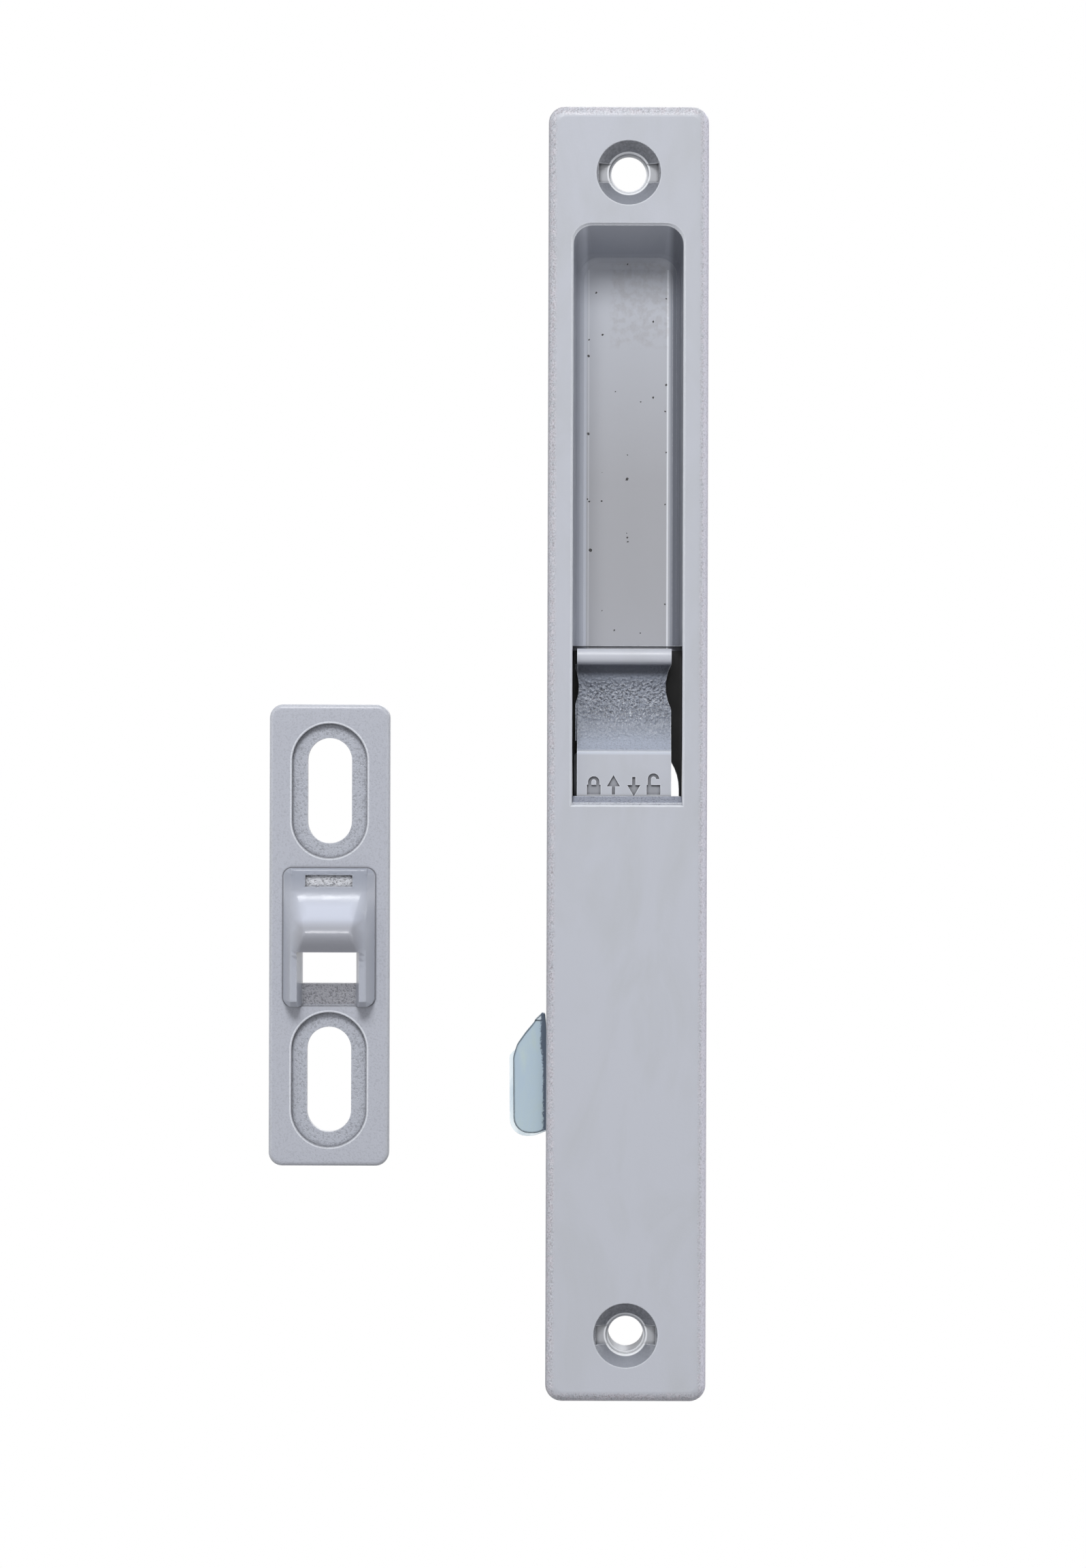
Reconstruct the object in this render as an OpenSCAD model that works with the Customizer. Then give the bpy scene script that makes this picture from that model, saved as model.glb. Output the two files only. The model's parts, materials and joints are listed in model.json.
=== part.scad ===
// Flush lock for a sliding patio door, with its keeper.
// The origin is midway between the two fixing screws, on the seat at the back of the face plate.
// X runs across the plate, Y runs into the door, Z runs up the door.
// The lock is drawn locked: thumb slide up, hook out.

/* [Face plate] */
// Height of the face plate
body_h = 190.6; // [186:0.2:230]
// Width of the face plate
body_w = 23.6; // [22:0.2:30]
// Thickness of the face plate, front face to seat
face_t = 3.2; // [3:0.1:4.5]
// Radius of the plate's four corners
corner_r = 2.4; // [1.8:0.1:4]
// Radius of the plate's front edge
edge_r = 1.6; // [0.6:0.1:1.7]
// Thickness of the plate in front of the mechanism
front_wall_t = 1.8; // [1.4:0.1:2.2]

/* [Fixing screws] */
// Distance between the two fixing screws
screw_spacing = 171; // [168:0.5:174]
// Diameter of the screw's clearance hole
screw_hole_d = 5.2; // [4.4:0.1:5.6]
// Diameter of the countersink at the front face
sink_d = 9.6; // [8.5:0.1:10.5]
// Diameter at the foot of the countersink
sink_foot_d = 5.9; // [5.7:0.1:6.8]
// Depth of the step below the countersink
sink_step = 0.95; // [0.4:0.05:1.4]
// Overall length of the two flat ears beside each screw
ear_l = 8.8; // [7.5:0.1:9.4]
// Height of each ear
ear_h = 2.75; // [2:0.05:4]
// Outside diameter of the screw boss behind the plate
screw_boss_d = 9.4; // [8.4:0.1:11]
// Length of the upper screw boss behind the plate
boss_top_l = 1; // [0.8:0.1:9]
// Length of the lower screw boss behind the plate
boss_low_l = 6.5; // [0.8:0.1:9]

/* [Pull recess] */
// Width of the recess at the front face
recess_w = 16.2; // [15.6:0.1:17]
// Height of the recess's top edge above the plate's centre
recess_top = 77.85; // [60:0.05:79]
// Height of the recess's lower front edge, below the centre
lip_z = -7.45; // [-9:0.05:-6]
// How far the lower lip rises towards the back
lip_rise = 1.25; // [0.4:0.05:1.6]
// Radius of the recess's upper corners
recess_r = 2.8; // [1.5:0.1:4]
// Bevel round the recess's rim
rim_bevel = 0.25; // [0.1:0.05:0.5]
// Width of the flat cup floor
floor_w = 11.8; // [9:0.1:13]
// Drop from the recess's top edge to the top of the flat floor
floor_drop = 5.85; // [4:0.05:9]
// How far each side wall leans in before it rounds to the floor
side_lean = 0.35; // [0.1:0.05:0.6]
// How far the top wall leans in before it rounds to the floor
top_lean = 3.4; // [1:0.1:4]
// Depth of the rounding between walls and floor
bowl_depth = 2.4; // [1:0.1:4]
// How far the cup floor stands forward of the back wall behind the thumb slide
floor_step = 0.3; // [0.1:0.05:0.6]

/* [Case] */
// Thickness of the case's side walls
side_wall_t = 1.2; // [1:0.05:1.8]
// Thickness of the cast back wall
back_wall_t = 1.3; // [1:0.05:1.8]
// Radius of the arched window in the back wall
arch_r = 7.7; // [6.5:0.05:7.8]
// Height of the arch's centre
arch_z = -5.4; // [-5.8:0.05:-3.5]
// Height of the back cover's top edge
cover_top = -12.2; // [-13:0.1:-11.5]
// Thickness of the steel back cover
cover_t = 1.2; // [0.8:0.05:1.6]
// Gap between the cover and the cast edges beside it
cover_gap = 0.1; // [0.05:0.01:0.2]
// Depth of the case below the hook pivot
case_reach = 27.5; // [26.5:0.1:30]
// Radius of the case's lower corners
case_r = 1.5; // [0.5:0.1:2.5]

/* [Thumb slide] */
// Width of the thumb slide where it shows
slide_w = 13.9; // [12.5:0.1:14.4]
// How far the thumb slide lies left of the centre line
slide_shift = 0.45; // [0:0.05:0.6]
// Height of the thumb slide's top when locked
slide_top = 15.5; // [14:0.1:17]
// Travel of the thumb slide
travel = 7; // [5.5:0.1:7]
// Thickness of the finger ridge
ridge_t = 2.3; // [1.8:0.1:3]
// How far the ridge's nose lies behind the front face
ridge_sink = 1.4; // [0.8:0.1:1.8]
// Distance from the slide's top to the top edge of its flat face
scoop_h = 15.15; // [14:0.05:16]
// Depth of the finger scoop behind the flat face
scoop_depth = 3.8; // [3:0.1:4.6]
// Thickness of the cast wall behind the scoop
scoop_wall = 1.8; // [1.4:0.1:2.2]
// Thickness of the slide behind its flat face
tongue_t = 2.4; // [1.8:0.1:2.8]
// Height of the guide wings at the slide's foot
wing_h = 7.4; // [6.6:0.1:8]
// How far the scoop's left side stands out beyond the flat face
cheek_bulge = 0.3; // [0:0.05:0.4]
// How much the scoop's left side is drawn in
waist_left = 0.5; // [0.2:0.05:0.7]
// How much the scoop's right side is drawn in
waist_right = 0.8; // [0.4:0.05:1]
// Radius of the drawn-in sides
waist_r = 7; // [6:0.5:12]

/* [Slide bar] */
// Thickness of the steel slide bar
bar_t = 1.5; // [1:0.05:1.8]
// Width of the bar's shank
bar_w = 6.65; // [6.2:0.05:6.8]
// Width of the bar's head behind the thumb slide
bar_head_w = 13.7; // [12:0.1:13.9]
// Metal left above and below the crank pin's notch
fork_w = 2.2; // [1.6:0.1:3]
// Diameter of the rivets that join bar and slide
slide_rivet_d = 2.4; // [2:0.1:2.8]
// Distance between those rivets
slide_rivet_spacing = 7.8; // [7:0.1:9]

/* [Friction spring] */
// Thickness of the leaf spring
spring_t = 0.4; // [0.3:0.05:0.5]
// Width of the leaf spring
spring_w = 4.2; // [3:0.1:4.6]
// Half the length of the spring's bow
bow_half = 5.6; // [5.2:0.1:6]

/* [Hook] */
// Distance of the hook pivot right of the centre line
pivot_x = 1.3; // [1.1:0.05:1.4]
// Height of the hook pivot
pivot_z = -46.4; // [-48:0.1:-44]
// Angle through which the hook swings
swing = 76; // [70:1:78]
// Thickness of each hook plate
hook_t = 2; // [1.6:0.05:2.1]
// Gap between the two hook plates
hook_gap = 0.15; // [0.1:0.01:0.3]
// Reach of the hook left of the pivot
hook_reach = 18.05; // [17:0.05:18.2]
// Height of the beak's tip above the pivot
beak_up = 7.9; // [7:0.1:9]
// Depth of the hook's foot below the pivot
hook_down = 9.9; // [9:0.1:10]
// How far the rear plate stands out beyond the front plate
rear_step = 0.6; // [0.2:0.05:0.65]
// Width of the beak at the throat
beak_w = 5.4; // [4.6:0.1:5.8]
// Height of the beak's shoulder above the pivot
shoulder_up = 1.4; // [1:0.1:2.4]
// Radius of the hub round the pivot
hub_r = 6; // [5.2:0.1:6.2]
// Diameter of the pivot pin
pivot_d = 3.2; // [2.6:0.1:3.4]
// Diameter of the crank pin
crank_d = 2.5; // [2.2:0.1:2.6]
// Radius of the metal round the crank pin
crank_lobe_r = 2.6; // [2.3:0.1:2.8]
// Diameter of the rivets that join the hook plates
hook_rivet_d = 2; // [1.6:0.1:2.4]

/* [Pivot] */
// Diameter of the bush in front of the hook
bush_d = 4.4; // [4.2:0.1:4.8]
// Diameter of the cast boss that carries the pivot
pivot_boss_d = 6.4; // [5.8:0.1:6.8]
// Diameter of the washer behind the hook
washer_d = 7.2; // [6:0.1:8]
// Thickness of that washer
washer_t = 0.55; // [0.4:0.05:0.7]
// Diameter of the pin's riveted head
pin_head_d = 5.2; // [4.6:0.1:6]
// Thickness of that head
pin_head_t = 0.8; // [0.5:0.05:1.2]

/* [Cover screws] */
// Diameter of the cover screws
cover_screw_d = 2.5; // [2:0.1:2.6]
// Diameter of the screw heads
cover_head_d = 4.6; // [4:0.1:5]
// Height of the screw heads
cover_head_t = 1.1; // [0.8:0.05:1.5]
// Diameter of the cast posts that take the screws
post_d = 5.2; // [4.8:0.1:5.4]

/* [Keeper] */
// Width of the keeper plate
keeper_w = 17.7; // [17:0.1:22]
// Height of the keeper plate
keeper_h = 67.9; // [66:0.1:80]
// Thickness of the keeper plate
keeper_t = 2.5; // [2:0.1:3.5]
// Corner radius of the keeper plate
keeper_corner_r = 2; // [1:0.1:3]
// Radius of the keeper plate's front edge
keeper_edge_r = 0.7; // [0.3:0.1:0.9]
// Distance between the keeper's two slots
slot_spacing = 42.5; // [42:0.1:45]
// Width of each slot
slot_w = 6.5; // [5:0.1:7]
// Overall length of each slot
slot_l = 15.5; // [12:0.1:16]
// Width of the step round each slot
slot_step = 2.25; // [1.5:0.05:2.4]
// Depth of that step
slot_step_t = 0.9; // [0.5:0.05:1.4]
// Width of the hood's foot
hood_w = 13.4; // [12.8:0.1:14]
// Height of the hood's foot
hood_h = 20.3; // [19.6:0.1:20.8]
// Corner radius of the hood's foot
hood_r = 1.3; // [0.8:0.1:1.8]
// How far the hood's crest stands out from the plate
hood_out = 6.2; // [5.4:0.1:7]
// How far the flat above the hood's ramp stands out
hood_flat_out = 1.3; // [1.1:0.1:1.6]
// Height of that flat
hood_flat_h = 3.2; // [2.9:0.1:3.6]
// Height of the crest above the mouth
crest_rise = 2.75; // [2.4:0.05:3]
// Width of the hood's crest
crest_w = 6.9; // [6:0.1:7.6]
// How much the lip widens on each side below the crest
lip_flare = 0.9; // [0.5:0.05:1]
// How far the lip falls back towards the mouth
lip_drop = 1.9; // [1.4:0.1:2.2]
// Height over which the lip's ends run out on the cheeks
lip_run = 1.6; // [1:0.1:2]
// How far the cheeks beside the mouth stand out
cheek_out = 3.4; // [2.8:0.1:3.8]
// Distance of each cheek's ridge from the hood's side
cheek_in = 1.15; // [0.9:0.05:1.3]
// Width of the mouth at the back of the plate
mouth_w = 8; // [7:0.1:8.2]
// Draft of the mouth's side walls
mouth_draft = 0.55; // [0.2:0.05:0.6]
// Height of the mouth
mouth_h = 4.8; // [4.4:0.1:5]

/* [Place of the keeper] */
// Distance of the keeper left of the lock's centre line
keeper_left = 43.75; // [36:0.05:60]
// Height of the keeper's centre
keeper_z = -26.8; // [-40:0.05:0]

/* [Fits] */
// Clearance of parts that slide on each other
slide_gap = 0.2; // [0.1:0.05:0.25]
// Play of the hook along its pivot
hook_play = 0.1; // [0.05:0.01:0.15]
// Radial clearance of a turning fit
turn_fit = 0.05; // [0.02:0.01:0.08]
// Radial clearance of a rivet or screw in its hole
rivet_fit = 0.02; // [0.01:0.01:0.05]
// Clearance of the crank pin in its notch
notch_gap = 0.15; // [0.12:0.01:0.2]
// Clearance between parts that pass each other
pass_gap = 0.3; // [0.2:0.05:0.4]

/* [Hidden] */
$fn = 64;
hull_fn = 32;
arc_steps = 6;
over = 0.5;
skin = 0.01;

cast_paint = [0.74, 0.76, 0.80];
zinc_blue = [0.65, 0.72, 0.77];
plain_steel = [0.62, 0.63, 0.65];
spring_steel = [0.45, 0.46, 0.48];

// Layers of the lock from the front face to the back
face_y = -face_t;
wall_y = face_y + front_wall_t;
tongue_y = wall_y + slide_gap;
bar_y = tongue_y + tongue_t;
bar_back_y = bar_y + bar_t;
hook_y = bar_back_y + 0.5;
rear_plate_y = hook_y + hook_t + hook_gap;
hook_back_y = rear_plate_y + hook_t;
washer_y = hook_back_y + hook_play;
cover_y = washer_y + washer_t;
case_back_y = cover_y + cover_t;
back_wall_y = case_back_y - back_wall_t;
floor_y = back_wall_y - floor_step;
rail_y = bar_y - slide_gap;
nose_y = face_y + ridge_sink;
slide_back_y = back_wall_y - pass_gap;

// Outline of the case
case_w = recess_w + 2 * side_wall_t;
case_bottom = pivot_z - case_reach;
chamber_bottom = case_bottom + side_wall_t;
chamber_top = slide_top + 0.4;

// Screws and posts
post_low_z = chamber_bottom + post_d / 2 + 0.1;
post_side_x = recess_w / 2 - post_d / 2;
post_high_z = pivot_z + 16;
posts = [[post_side_x, post_high_z], [post_side_x, post_low_z], [-post_side_x, post_low_z]];
post_hole_depth = 5.5;
screw_slot_w = 0.7;
screw_slot_depth = 0.5;

// Thumb slide and bar
slide_left = -slide_w / 2 - slide_shift;
slide_right = slide_w / 2 - slide_shift;
face_top = slide_top - scoop_h;
wing_top = lip_z - 0.8;
tongue_bottom = wing_top - wing_h;
wing_half = recess_w / 2 - slide_gap;
ridge_under = slide_top - ridge_t;
scoop_half = (ridge_under - face_top) / 2;
scoop_mid_z = face_top + scoop_half;
scoop_lap = 0.05;
scoop_r = (pow(scoop_half + scoop_lap, 2) + scoop_depth * scoop_depth) / (2 * scoop_depth);
scoop_y = tongue_y + scoop_depth - scoop_r;
waist_z = ridge_under - 3.3;
core_y = tongue_y + scoop_depth + scoop_wall;
core_side = 2.2;
cheek_low_z = face_top + 1.5;
bar_left = -recess_w / 2 + 0.25;
bar_right = bar_left + bar_w;
bar_head_top = face_top - 0.3;
bar_head_bottom = tongue_bottom + 0.45;
rivet_z = wing_top - wing_h / 2;
rivet_mid_x = bar_left + bar_head_w / 2;
rivet_head = 0.6;

// Crank: the slide's travel swings the crank pin evenly above and below the pivot
crank_r = travel / 2 / sin(swing / 2);
crank_x = pivot_x - crank_r * cos(swing / 2);
crank_z = pivot_z + travel / 2;
notch_left = pivot_x - crank_r - crank_d / 2 - pass_gap;
bar_bottom = crank_z - crank_d / 2 - notch_gap - fork_w;
crank_front_y = rail_y - 0.4;

// Hook outline, round the pivot
hook_left = pivot_x - hook_reach;
hook_foot = pivot_z - hook_down;
hook_heel_x = pivot_x - 14.6;
shoulder_z = pivot_z + shoulder_up;
beak_right = hook_left + beak_w;
beak_h = beak_up - shoulder_up;
// Corners from the shoulder to the beak's tip, in shares of the beak's width and height, with their radii
beak_steps = [[0.1, 0.28, 3], [0.32, 0.54, 3], [0.565, 0.785, 0.4], [0.61, 0.86, 0.2], [0.79, 1, 0.2]];
throat_z = pivot_z - 1.4;
hook_rivets_at = [[pivot_x - 10.2, pivot_z - 5.6], [pivot_x - 4.6, pivot_z - 3.6]];
window_top = pivot_z + beak_up + 1;
window_bottom = pivot_z - 18.6;

// Friction spring
spring_x = rivet_mid_x;
spring_foot_z = tongue_bottom + 1.4;
crown_y = cover_y - turn_fit;
bow_mid_y = crown_y - spring_t / 2;
bow_rise = bow_mid_y - bar_back_y - spring_t / 2;
bow_r = (bow_half * bow_half + bow_rise * bow_rise) / (2 * bow_rise);
bow_z = spring_foot_z - bow_half;
bow_y = bow_mid_y - bow_r;

// Keeper
keeper_face_y = -keeper_t;
hood_top = hood_h / 2 - 0.25;
hood_bottom = hood_top - hood_h;
ledge_h = 3.3;
mouth_bottom = hood_bottom + ledge_h;
mouth_top = mouth_bottom + mouth_h;
crest_z = mouth_top + crest_rise;
ramp_top = hood_top - hood_flat_h;
hood_wall = 1.6;
hood_step = 0.85;
hood_lap = 0.05;
rib_w = 0.6;
rib_r = 0.45;
rib_step = 0.08;
crest_edge_r = 0.55;
top_edge_r = 0.4;
foot_edge_r = 0.9;
pocket_h = 1.7;
pocket_depth = 0.5;

function unit(v) = v / norm(v);
function turned(v, a) = [v.x * cos(a) - v.y * sin(a), v.x * sin(a) + v.y * cos(a)];

// Arc that rounds corner b between neighbours a and c; a corner is [x, y, radius]
function corner_arc(a, b, c, steps) =
    let (p = [b.x, b.y], u = unit([a.x, a.y] - p), v = unit([c.x, c.y] - p), r = b[2])
    r <= 0 ? [p] :
    let (half = acos(u * v) / 2)
    let (centre = p + unit(u + v) * r / sin(half))
    let (start = p + u * r / tan(half) - centre, end = p + v * r / tan(half) - centre)
    let (turn = sign(cross(start, end)) * (180 - 2 * half))
    [for (k = [0 : steps]) centre + turned(start, turn * k / steps)];

// Closed outline through a list of corners, each rounded by its own radius
function rounded(corners, steps = arc_steps) =
    let (n = len(corners))
    [for (i = [0 : n - 1])
        each corner_arc(corners[(i + n - 1) % n], corners[i], corners[(i + 1) % n], steps)];

// Turns an X-Z outline into a solid from y0 back to y1
module layer(y0, y1) {
    translate([0, y1, 0]) rotate([90, 0, 0]) linear_extrude(y1 - y0) children();
}

// Turns a Y-Z outline into a solid from x0 across to x1
module across(x0, x1) {
    translate([x0, 0, 0]) rotate([90, 0, 90]) linear_extrude(x1 - x0) children();
}

// Round bar or hole along Y, centred at x and z
module round_y(x, z, y0, y1, r0, r1) {
    translate([x, y0, z]) rotate([-90, 0, 0]) cylinder(h = y1 - y0, r1 = r0, r2 = r1);
}

module rod(x, z, y0, y1, d) {
    round_y(x, z, y0, y1, d / 2, d / 2);
}

module box(x0, x1, y0, y1, z0, z1) {
    translate([x0, y0, z0]) cube([x1 - x0, y1 - y0, z1 - z0]);
}

// Section of a plate in front of Y = 0, from its middle out to a rounded front edge
module edge_section(reach, t, edge) {
    translate([0, edge - t]) square([reach, t - edge]);
    translate([0, -t]) square([reach - edge, t]);
    intersection() {
        translate([reach - edge, edge - t]) circle(edge);
        translate([reach - edge, -t]) square(edge);
    }
}

// Upright plate in front of Y = 0 with round corners and a rounded front edge
module rounded_plate(w, h, t, corner, edge) {
    x = w / 2 - corner;
    z = h / 2 - corner;
    for (half_turn = [0, 180]) rotate([0, half_turn, 0]) {
        translate([0, 0, -z]) linear_extrude(2 * z) edge_section(w / 2, t, edge);
        translate([x, 0, z]) rotate([0, -90, 0]) linear_extrude(2 * x) edge_section(corner, t, edge);
    }
    for (place = [[x, z, 0], [-x, z, -90], [-x, -z, -180], [x, -z, -270]])
        translate([place[0], 0, place[1]]) rotate([0, place[2] - 90, 0]) rotate([-90, 0, 0])
            rotate_extrude(angle = 90) edge_section(corner, t, edge);
}

// Stadium outline standing on end
module stadium(w, l) {
    square([w, l - w], center = true);
    for (end = [-1, 1]) translate([0, end * (l - w) / 2]) circle(w / 2);
}

// Outline of the recess from a lower edge to its round-cornered top
module recess_outline(half_w, top, bottom) {
    translate([-half_w, bottom]) square([2 * half_w, top - bottom - recess_r]);
    translate([recess_r - half_w, bottom]) square([2 * (half_w - recess_r), top - bottom]);
    for (side = [-1, 1])
        translate([side * (half_w - recess_r), top - recess_r]) circle(recess_r, $fn = hull_fn);
}

// The cup: leaning walls that round into a flat floor; grow makes the outside of its shell
module cup(grow, front_y) {
    wall_half = recess_w / 2 - side_lean;
    wall_top = recess_top - top_lean;
    low = chamber_top - (grow > 0 ? side_wall_t : 0);
    hull() {
        layer(front_y, front_y + skin) recess_outline(recess_w / 2 + grow, recess_top + grow, low);
        for (a = [0 : 22.5 : 90])
            translate([0, floor_y + grow - bowl_depth * (1 - sin(a)) - skin, 0])
                layer(0, skin) recess_outline(
                    floor_w / 2 + grow + (wall_half - floor_w / 2) * cos(a),
                    recess_top - floor_drop + grow + (wall_top - recess_top + floor_drop) * cos(a),
                    low);
    }
}

module rim() {
    hull() {
        layer(face_y - skin, face_y)
            recess_outline(recess_w / 2 + rim_bevel, recess_top + rim_bevel, lip_z - rim_bevel);
        layer(face_y + rim_bevel, face_y + rim_bevel + skin) recess_outline(recess_w / 2, recess_top, lip_z);
    }
}

// Countersunk hole with two flat ears and a stepped bore
module screw_hole(boss_l) {
    foot_y = face_y + (sink_d - sink_foot_d) / 2;
    round_y(0, 0, face_y, foot_y, sink_d / 2, sink_foot_d / 2);
    rod(0, 0, face_y - over, face_y + skin, sink_d);
    rod(0, 0, foot_y - skin, foot_y + sink_step, sink_foot_d);
    rod(0, 0, foot_y, boss_l + over, screw_hole_d);
    box(-ear_l / 2, ear_l / 2, face_y - over, foot_y, -ear_h / 2, ear_h / 2);
}

module case_outline(top) {
    translate([-case_w / 2, case_bottom + case_r]) square([case_w, top - case_bottom - case_r]);
    translate([case_r - case_w / 2, case_bottom]) square([case_w - 2 * case_r, case_r + skin]);
    for (side = [-1, 1]) translate([side * (case_w / 2 - case_r), case_bottom + case_r]) circle(case_r);
}

module back_window() {
    translate([0, arch_z]) circle(arch_r);
    translate([-arch_r, cover_top - over]) square([2 * arch_r, arch_z - cover_top + over]);
}

// Die-cast body: face plate, pull cup, and the case that holds the mechanism
module lock_body() {
    half = recess_w / 2;
    color(cast_paint) difference() {
        union() {
            difference() {
                union() {
                    rounded_plate(body_w, body_h, face_t, corner_r, edge_r);
                    layer(-skin, cover_y) case_outline(chamber_top + side_wall_t);
                    box(-case_w / 2, case_w / 2, cover_y - skin, case_back_y, cover_top + cover_gap,
                        chamber_top + side_wall_t);
                    cup(side_wall_t, -skin);
                    rod(0, screw_spacing / 2, -skin, boss_top_l, screw_boss_d);
                    rod(0, -screw_spacing / 2, -skin, boss_low_l, screw_boss_d);
                }
                cup(0, face_y - skin);
                rim();
                across(-half, half) polygon([
                    [face_y - skin, lip_z], [wall_y + skin, lip_z + lip_rise],
                    [wall_y + skin, chamber_top + skin], [face_y - skin, chamber_top + skin]
                ]);
                box(-half, half, wall_y, back_wall_y, chamber_bottom, chamber_top);
                box(-half, half, wall_y, case_back_y + over, chamber_bottom, cover_top + cover_gap);
                layer(back_wall_y - skin, case_back_y + over) back_window();
                box(-case_w / 2 - over, -half + skin, hook_y - pass_gap, cover_y + over,
                    window_bottom, window_top);
            }
            for (p = posts) {
                side = sign(p.x);
                rod(p.x, p.y, wall_y - skin, cover_y, post_d);
                box(min(p.x, side * (half + skin)), max(p.x, side * (half + skin)), wall_y - skin, cover_y,
                    p.y - post_d / 2, p.y + post_d / 2);
            }
            rod(pivot_x, pivot_z, wall_y - skin, rail_y, pivot_boss_d);
            box(-half - skin, notch_left - pass_gap, wall_y - skin, rail_y, crank_z - travel - 6,
                tongue_bottom - travel - 1);
        }
        translate([0, 0, screw_spacing / 2]) screw_hole(boss_top_l);
        translate([0, 0, -screw_spacing / 2]) screw_hole(boss_low_l);
        for (p = posts) rod(p.x, p.y, cover_y - post_hole_depth, cover_y + over, cover_screw_d + 2 * rivet_fit);
        rod(pivot_x, pivot_z, wall_y + 0.3, rail_y + over, pivot_d + 2 * rivet_fit);
    }
}

// Pressed steel plate that closes the back of the mechanism
module back_cover() {
    color(plain_steel) difference() {
        intersection() {
            layer(cover_y, case_back_y) case_outline(cover_top);
            box(-case_w, case_w, cover_y, case_back_y, case_bottom, cover_top);
        }
        for (p = posts) rod(p.x, p.y, cover_y - over, case_back_y + over, cover_screw_d + 4 * turn_fit);
        rod(pivot_x, pivot_z, cover_y - over, case_back_y + over, pivot_d + 2 * rivet_fit);
    }
}

module cover_screw() {
    difference() {
        union() {
            rod(0, 0, cover_y - post_hole_depth + 0.4, case_back_y + skin, cover_screw_d);
            round_y(0, 0, case_back_y, case_back_y + cover_head_t, cover_head_d / 2, cover_head_d / 2 - 0.5);
        }
        box(-cover_head_d, cover_head_d, case_back_y + cover_head_t - screw_slot_depth,
            case_back_y + cover_head_t + over, -screw_slot_w / 2, screw_slot_w / 2);
    }
}

module cover_screws() {
    color(plain_steel) for (p = posts) translate([p.x, 0, p.y]) cover_screw();
}

// Side view of the thumb slide: ridge, scoop, flat face and tongue
module slide_profile() {
    heel_z = face_top - 0.2;
    heel_rise = 4;
    difference() {
        polygon(rounded([
            [nose_y, ridge_under, 0.9], [nose_y, slide_top, 1.1], [slide_back_y, slide_top, 0.8],
            [slide_back_y, heel_z + heel_rise, 2], [bar_y + 1.2, heel_z, 0.4], [bar_y, heel_z, 0],
            [bar_y, tongue_bottom, 0.3], [tongue_y, tongue_bottom, 0.3], [tongue_y, ridge_under, 0]
        ]));
        intersection() {
            translate([scoop_y, scoop_mid_z]) circle(scoop_r);
            translate([tongue_y - scoop_depth, face_top]) square([2 * scoop_r, 2 * scoop_half]);
        }
    }
}

module rivet_holes(y0, y1) {
    for (side = [-1, 1])
        rod(rivet_mid_x + side * slide_rivet_spacing / 2, rivet_z, y0, y1, slide_rivet_d + 2 * rivet_fit);
    rod(spring_x, rivet_z, y0, y1, slide_rivet_d + 2 * rivet_fit);
}

// Cast thumb piece with its finger ridge and guide wings
module thumb_slide() {
    color(cast_paint) difference() {
        union() {
            across(slide_left, slide_right) slide_profile();
            box(slide_left - cheek_bulge, slide_left + over, tongue_y + scoop_depth, slide_back_y - 0.8,
                cheek_low_z, ridge_under);
            box(-wing_half, wing_half, tongue_y, bar_y, tongue_bottom, wing_top);
        }
        for (side = [-1, 1]) {
            edge = side < 0 ? slide_left - cheek_bulge : slide_right;
            waist = side < 0 ? waist_left : waist_right;
            intersection() {
                rod(edge + side * (waist_r - waist), waist_z, tongue_y - over, slide_back_y + over,
                    2 * waist_r);
                box(-recess_w, recess_w, tongue_y - over, slide_back_y + over, face_top, ridge_under);
            }
        }
        box(slide_left + core_side, slide_right - core_side, core_y, slide_back_y + over,
            scoop_mid_z - 2, slide_top - core_side);
        rivet_holes(tongue_y - over, bar_y + over);
        for (x = [-1, 0, 1])
            round_y(rivet_mid_x + x * slide_rivet_spacing / 2, rivet_z, tongue_y - skin, tongue_y + rivet_head,
                slide_rivet_d / 2 + rivet_head + rivet_fit, slide_rivet_d / 2 + rivet_fit);
    }
}

// Steel bar that carries the slide's movement down to the hook
module slide_bar() {
    fork = crank_d / 2 + notch_gap;
    color(zinc_blue) difference() {
        layer(bar_y, bar_back_y) difference() {
            union() {
                polygon(rounded([
                    [bar_left, bar_head_bottom, 0.5], [bar_left, bar_head_top, 0.5],
                    [bar_left + bar_head_w, bar_head_top, 0.5], [bar_left + bar_head_w, bar_head_bottom, 1]
                ]));
                polygon(rounded([
                    [bar_left, bar_bottom, 1], [bar_left, bar_head_bottom + 2, 0],
                    [bar_right, bar_head_bottom + 2, 0], [bar_right, bar_bottom, 0.6]
                ]));
            }
            translate([notch_left, crank_z - fork]) square([bar_w, 2 * fork]);
        }
        rivet_holes(bar_y - over, bar_back_y + over);
    }
}

module slide_rivet(y1) {
    rod(0, 0, tongue_y, y1, slide_rivet_d);
    round_y(0, 0, tongue_y, tongue_y + rivet_head, slide_rivet_d / 2 + rivet_head, slide_rivet_d / 2);
    round_y(0, 0, y1, y1 + rivet_head, slide_rivet_d / 2 + rivet_head, slide_rivet_d / 2);
}

module slide_rivets() {
    color(plain_steel) {
        for (side = [-1, 1])
            translate([rivet_mid_x + side * slide_rivet_spacing / 2, 0, rivet_z]) slide_rivet(bar_back_y);
        translate([spring_x, 0, rivet_z]) slide_rivet(bar_back_y + spring_t);
    }
}

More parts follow.
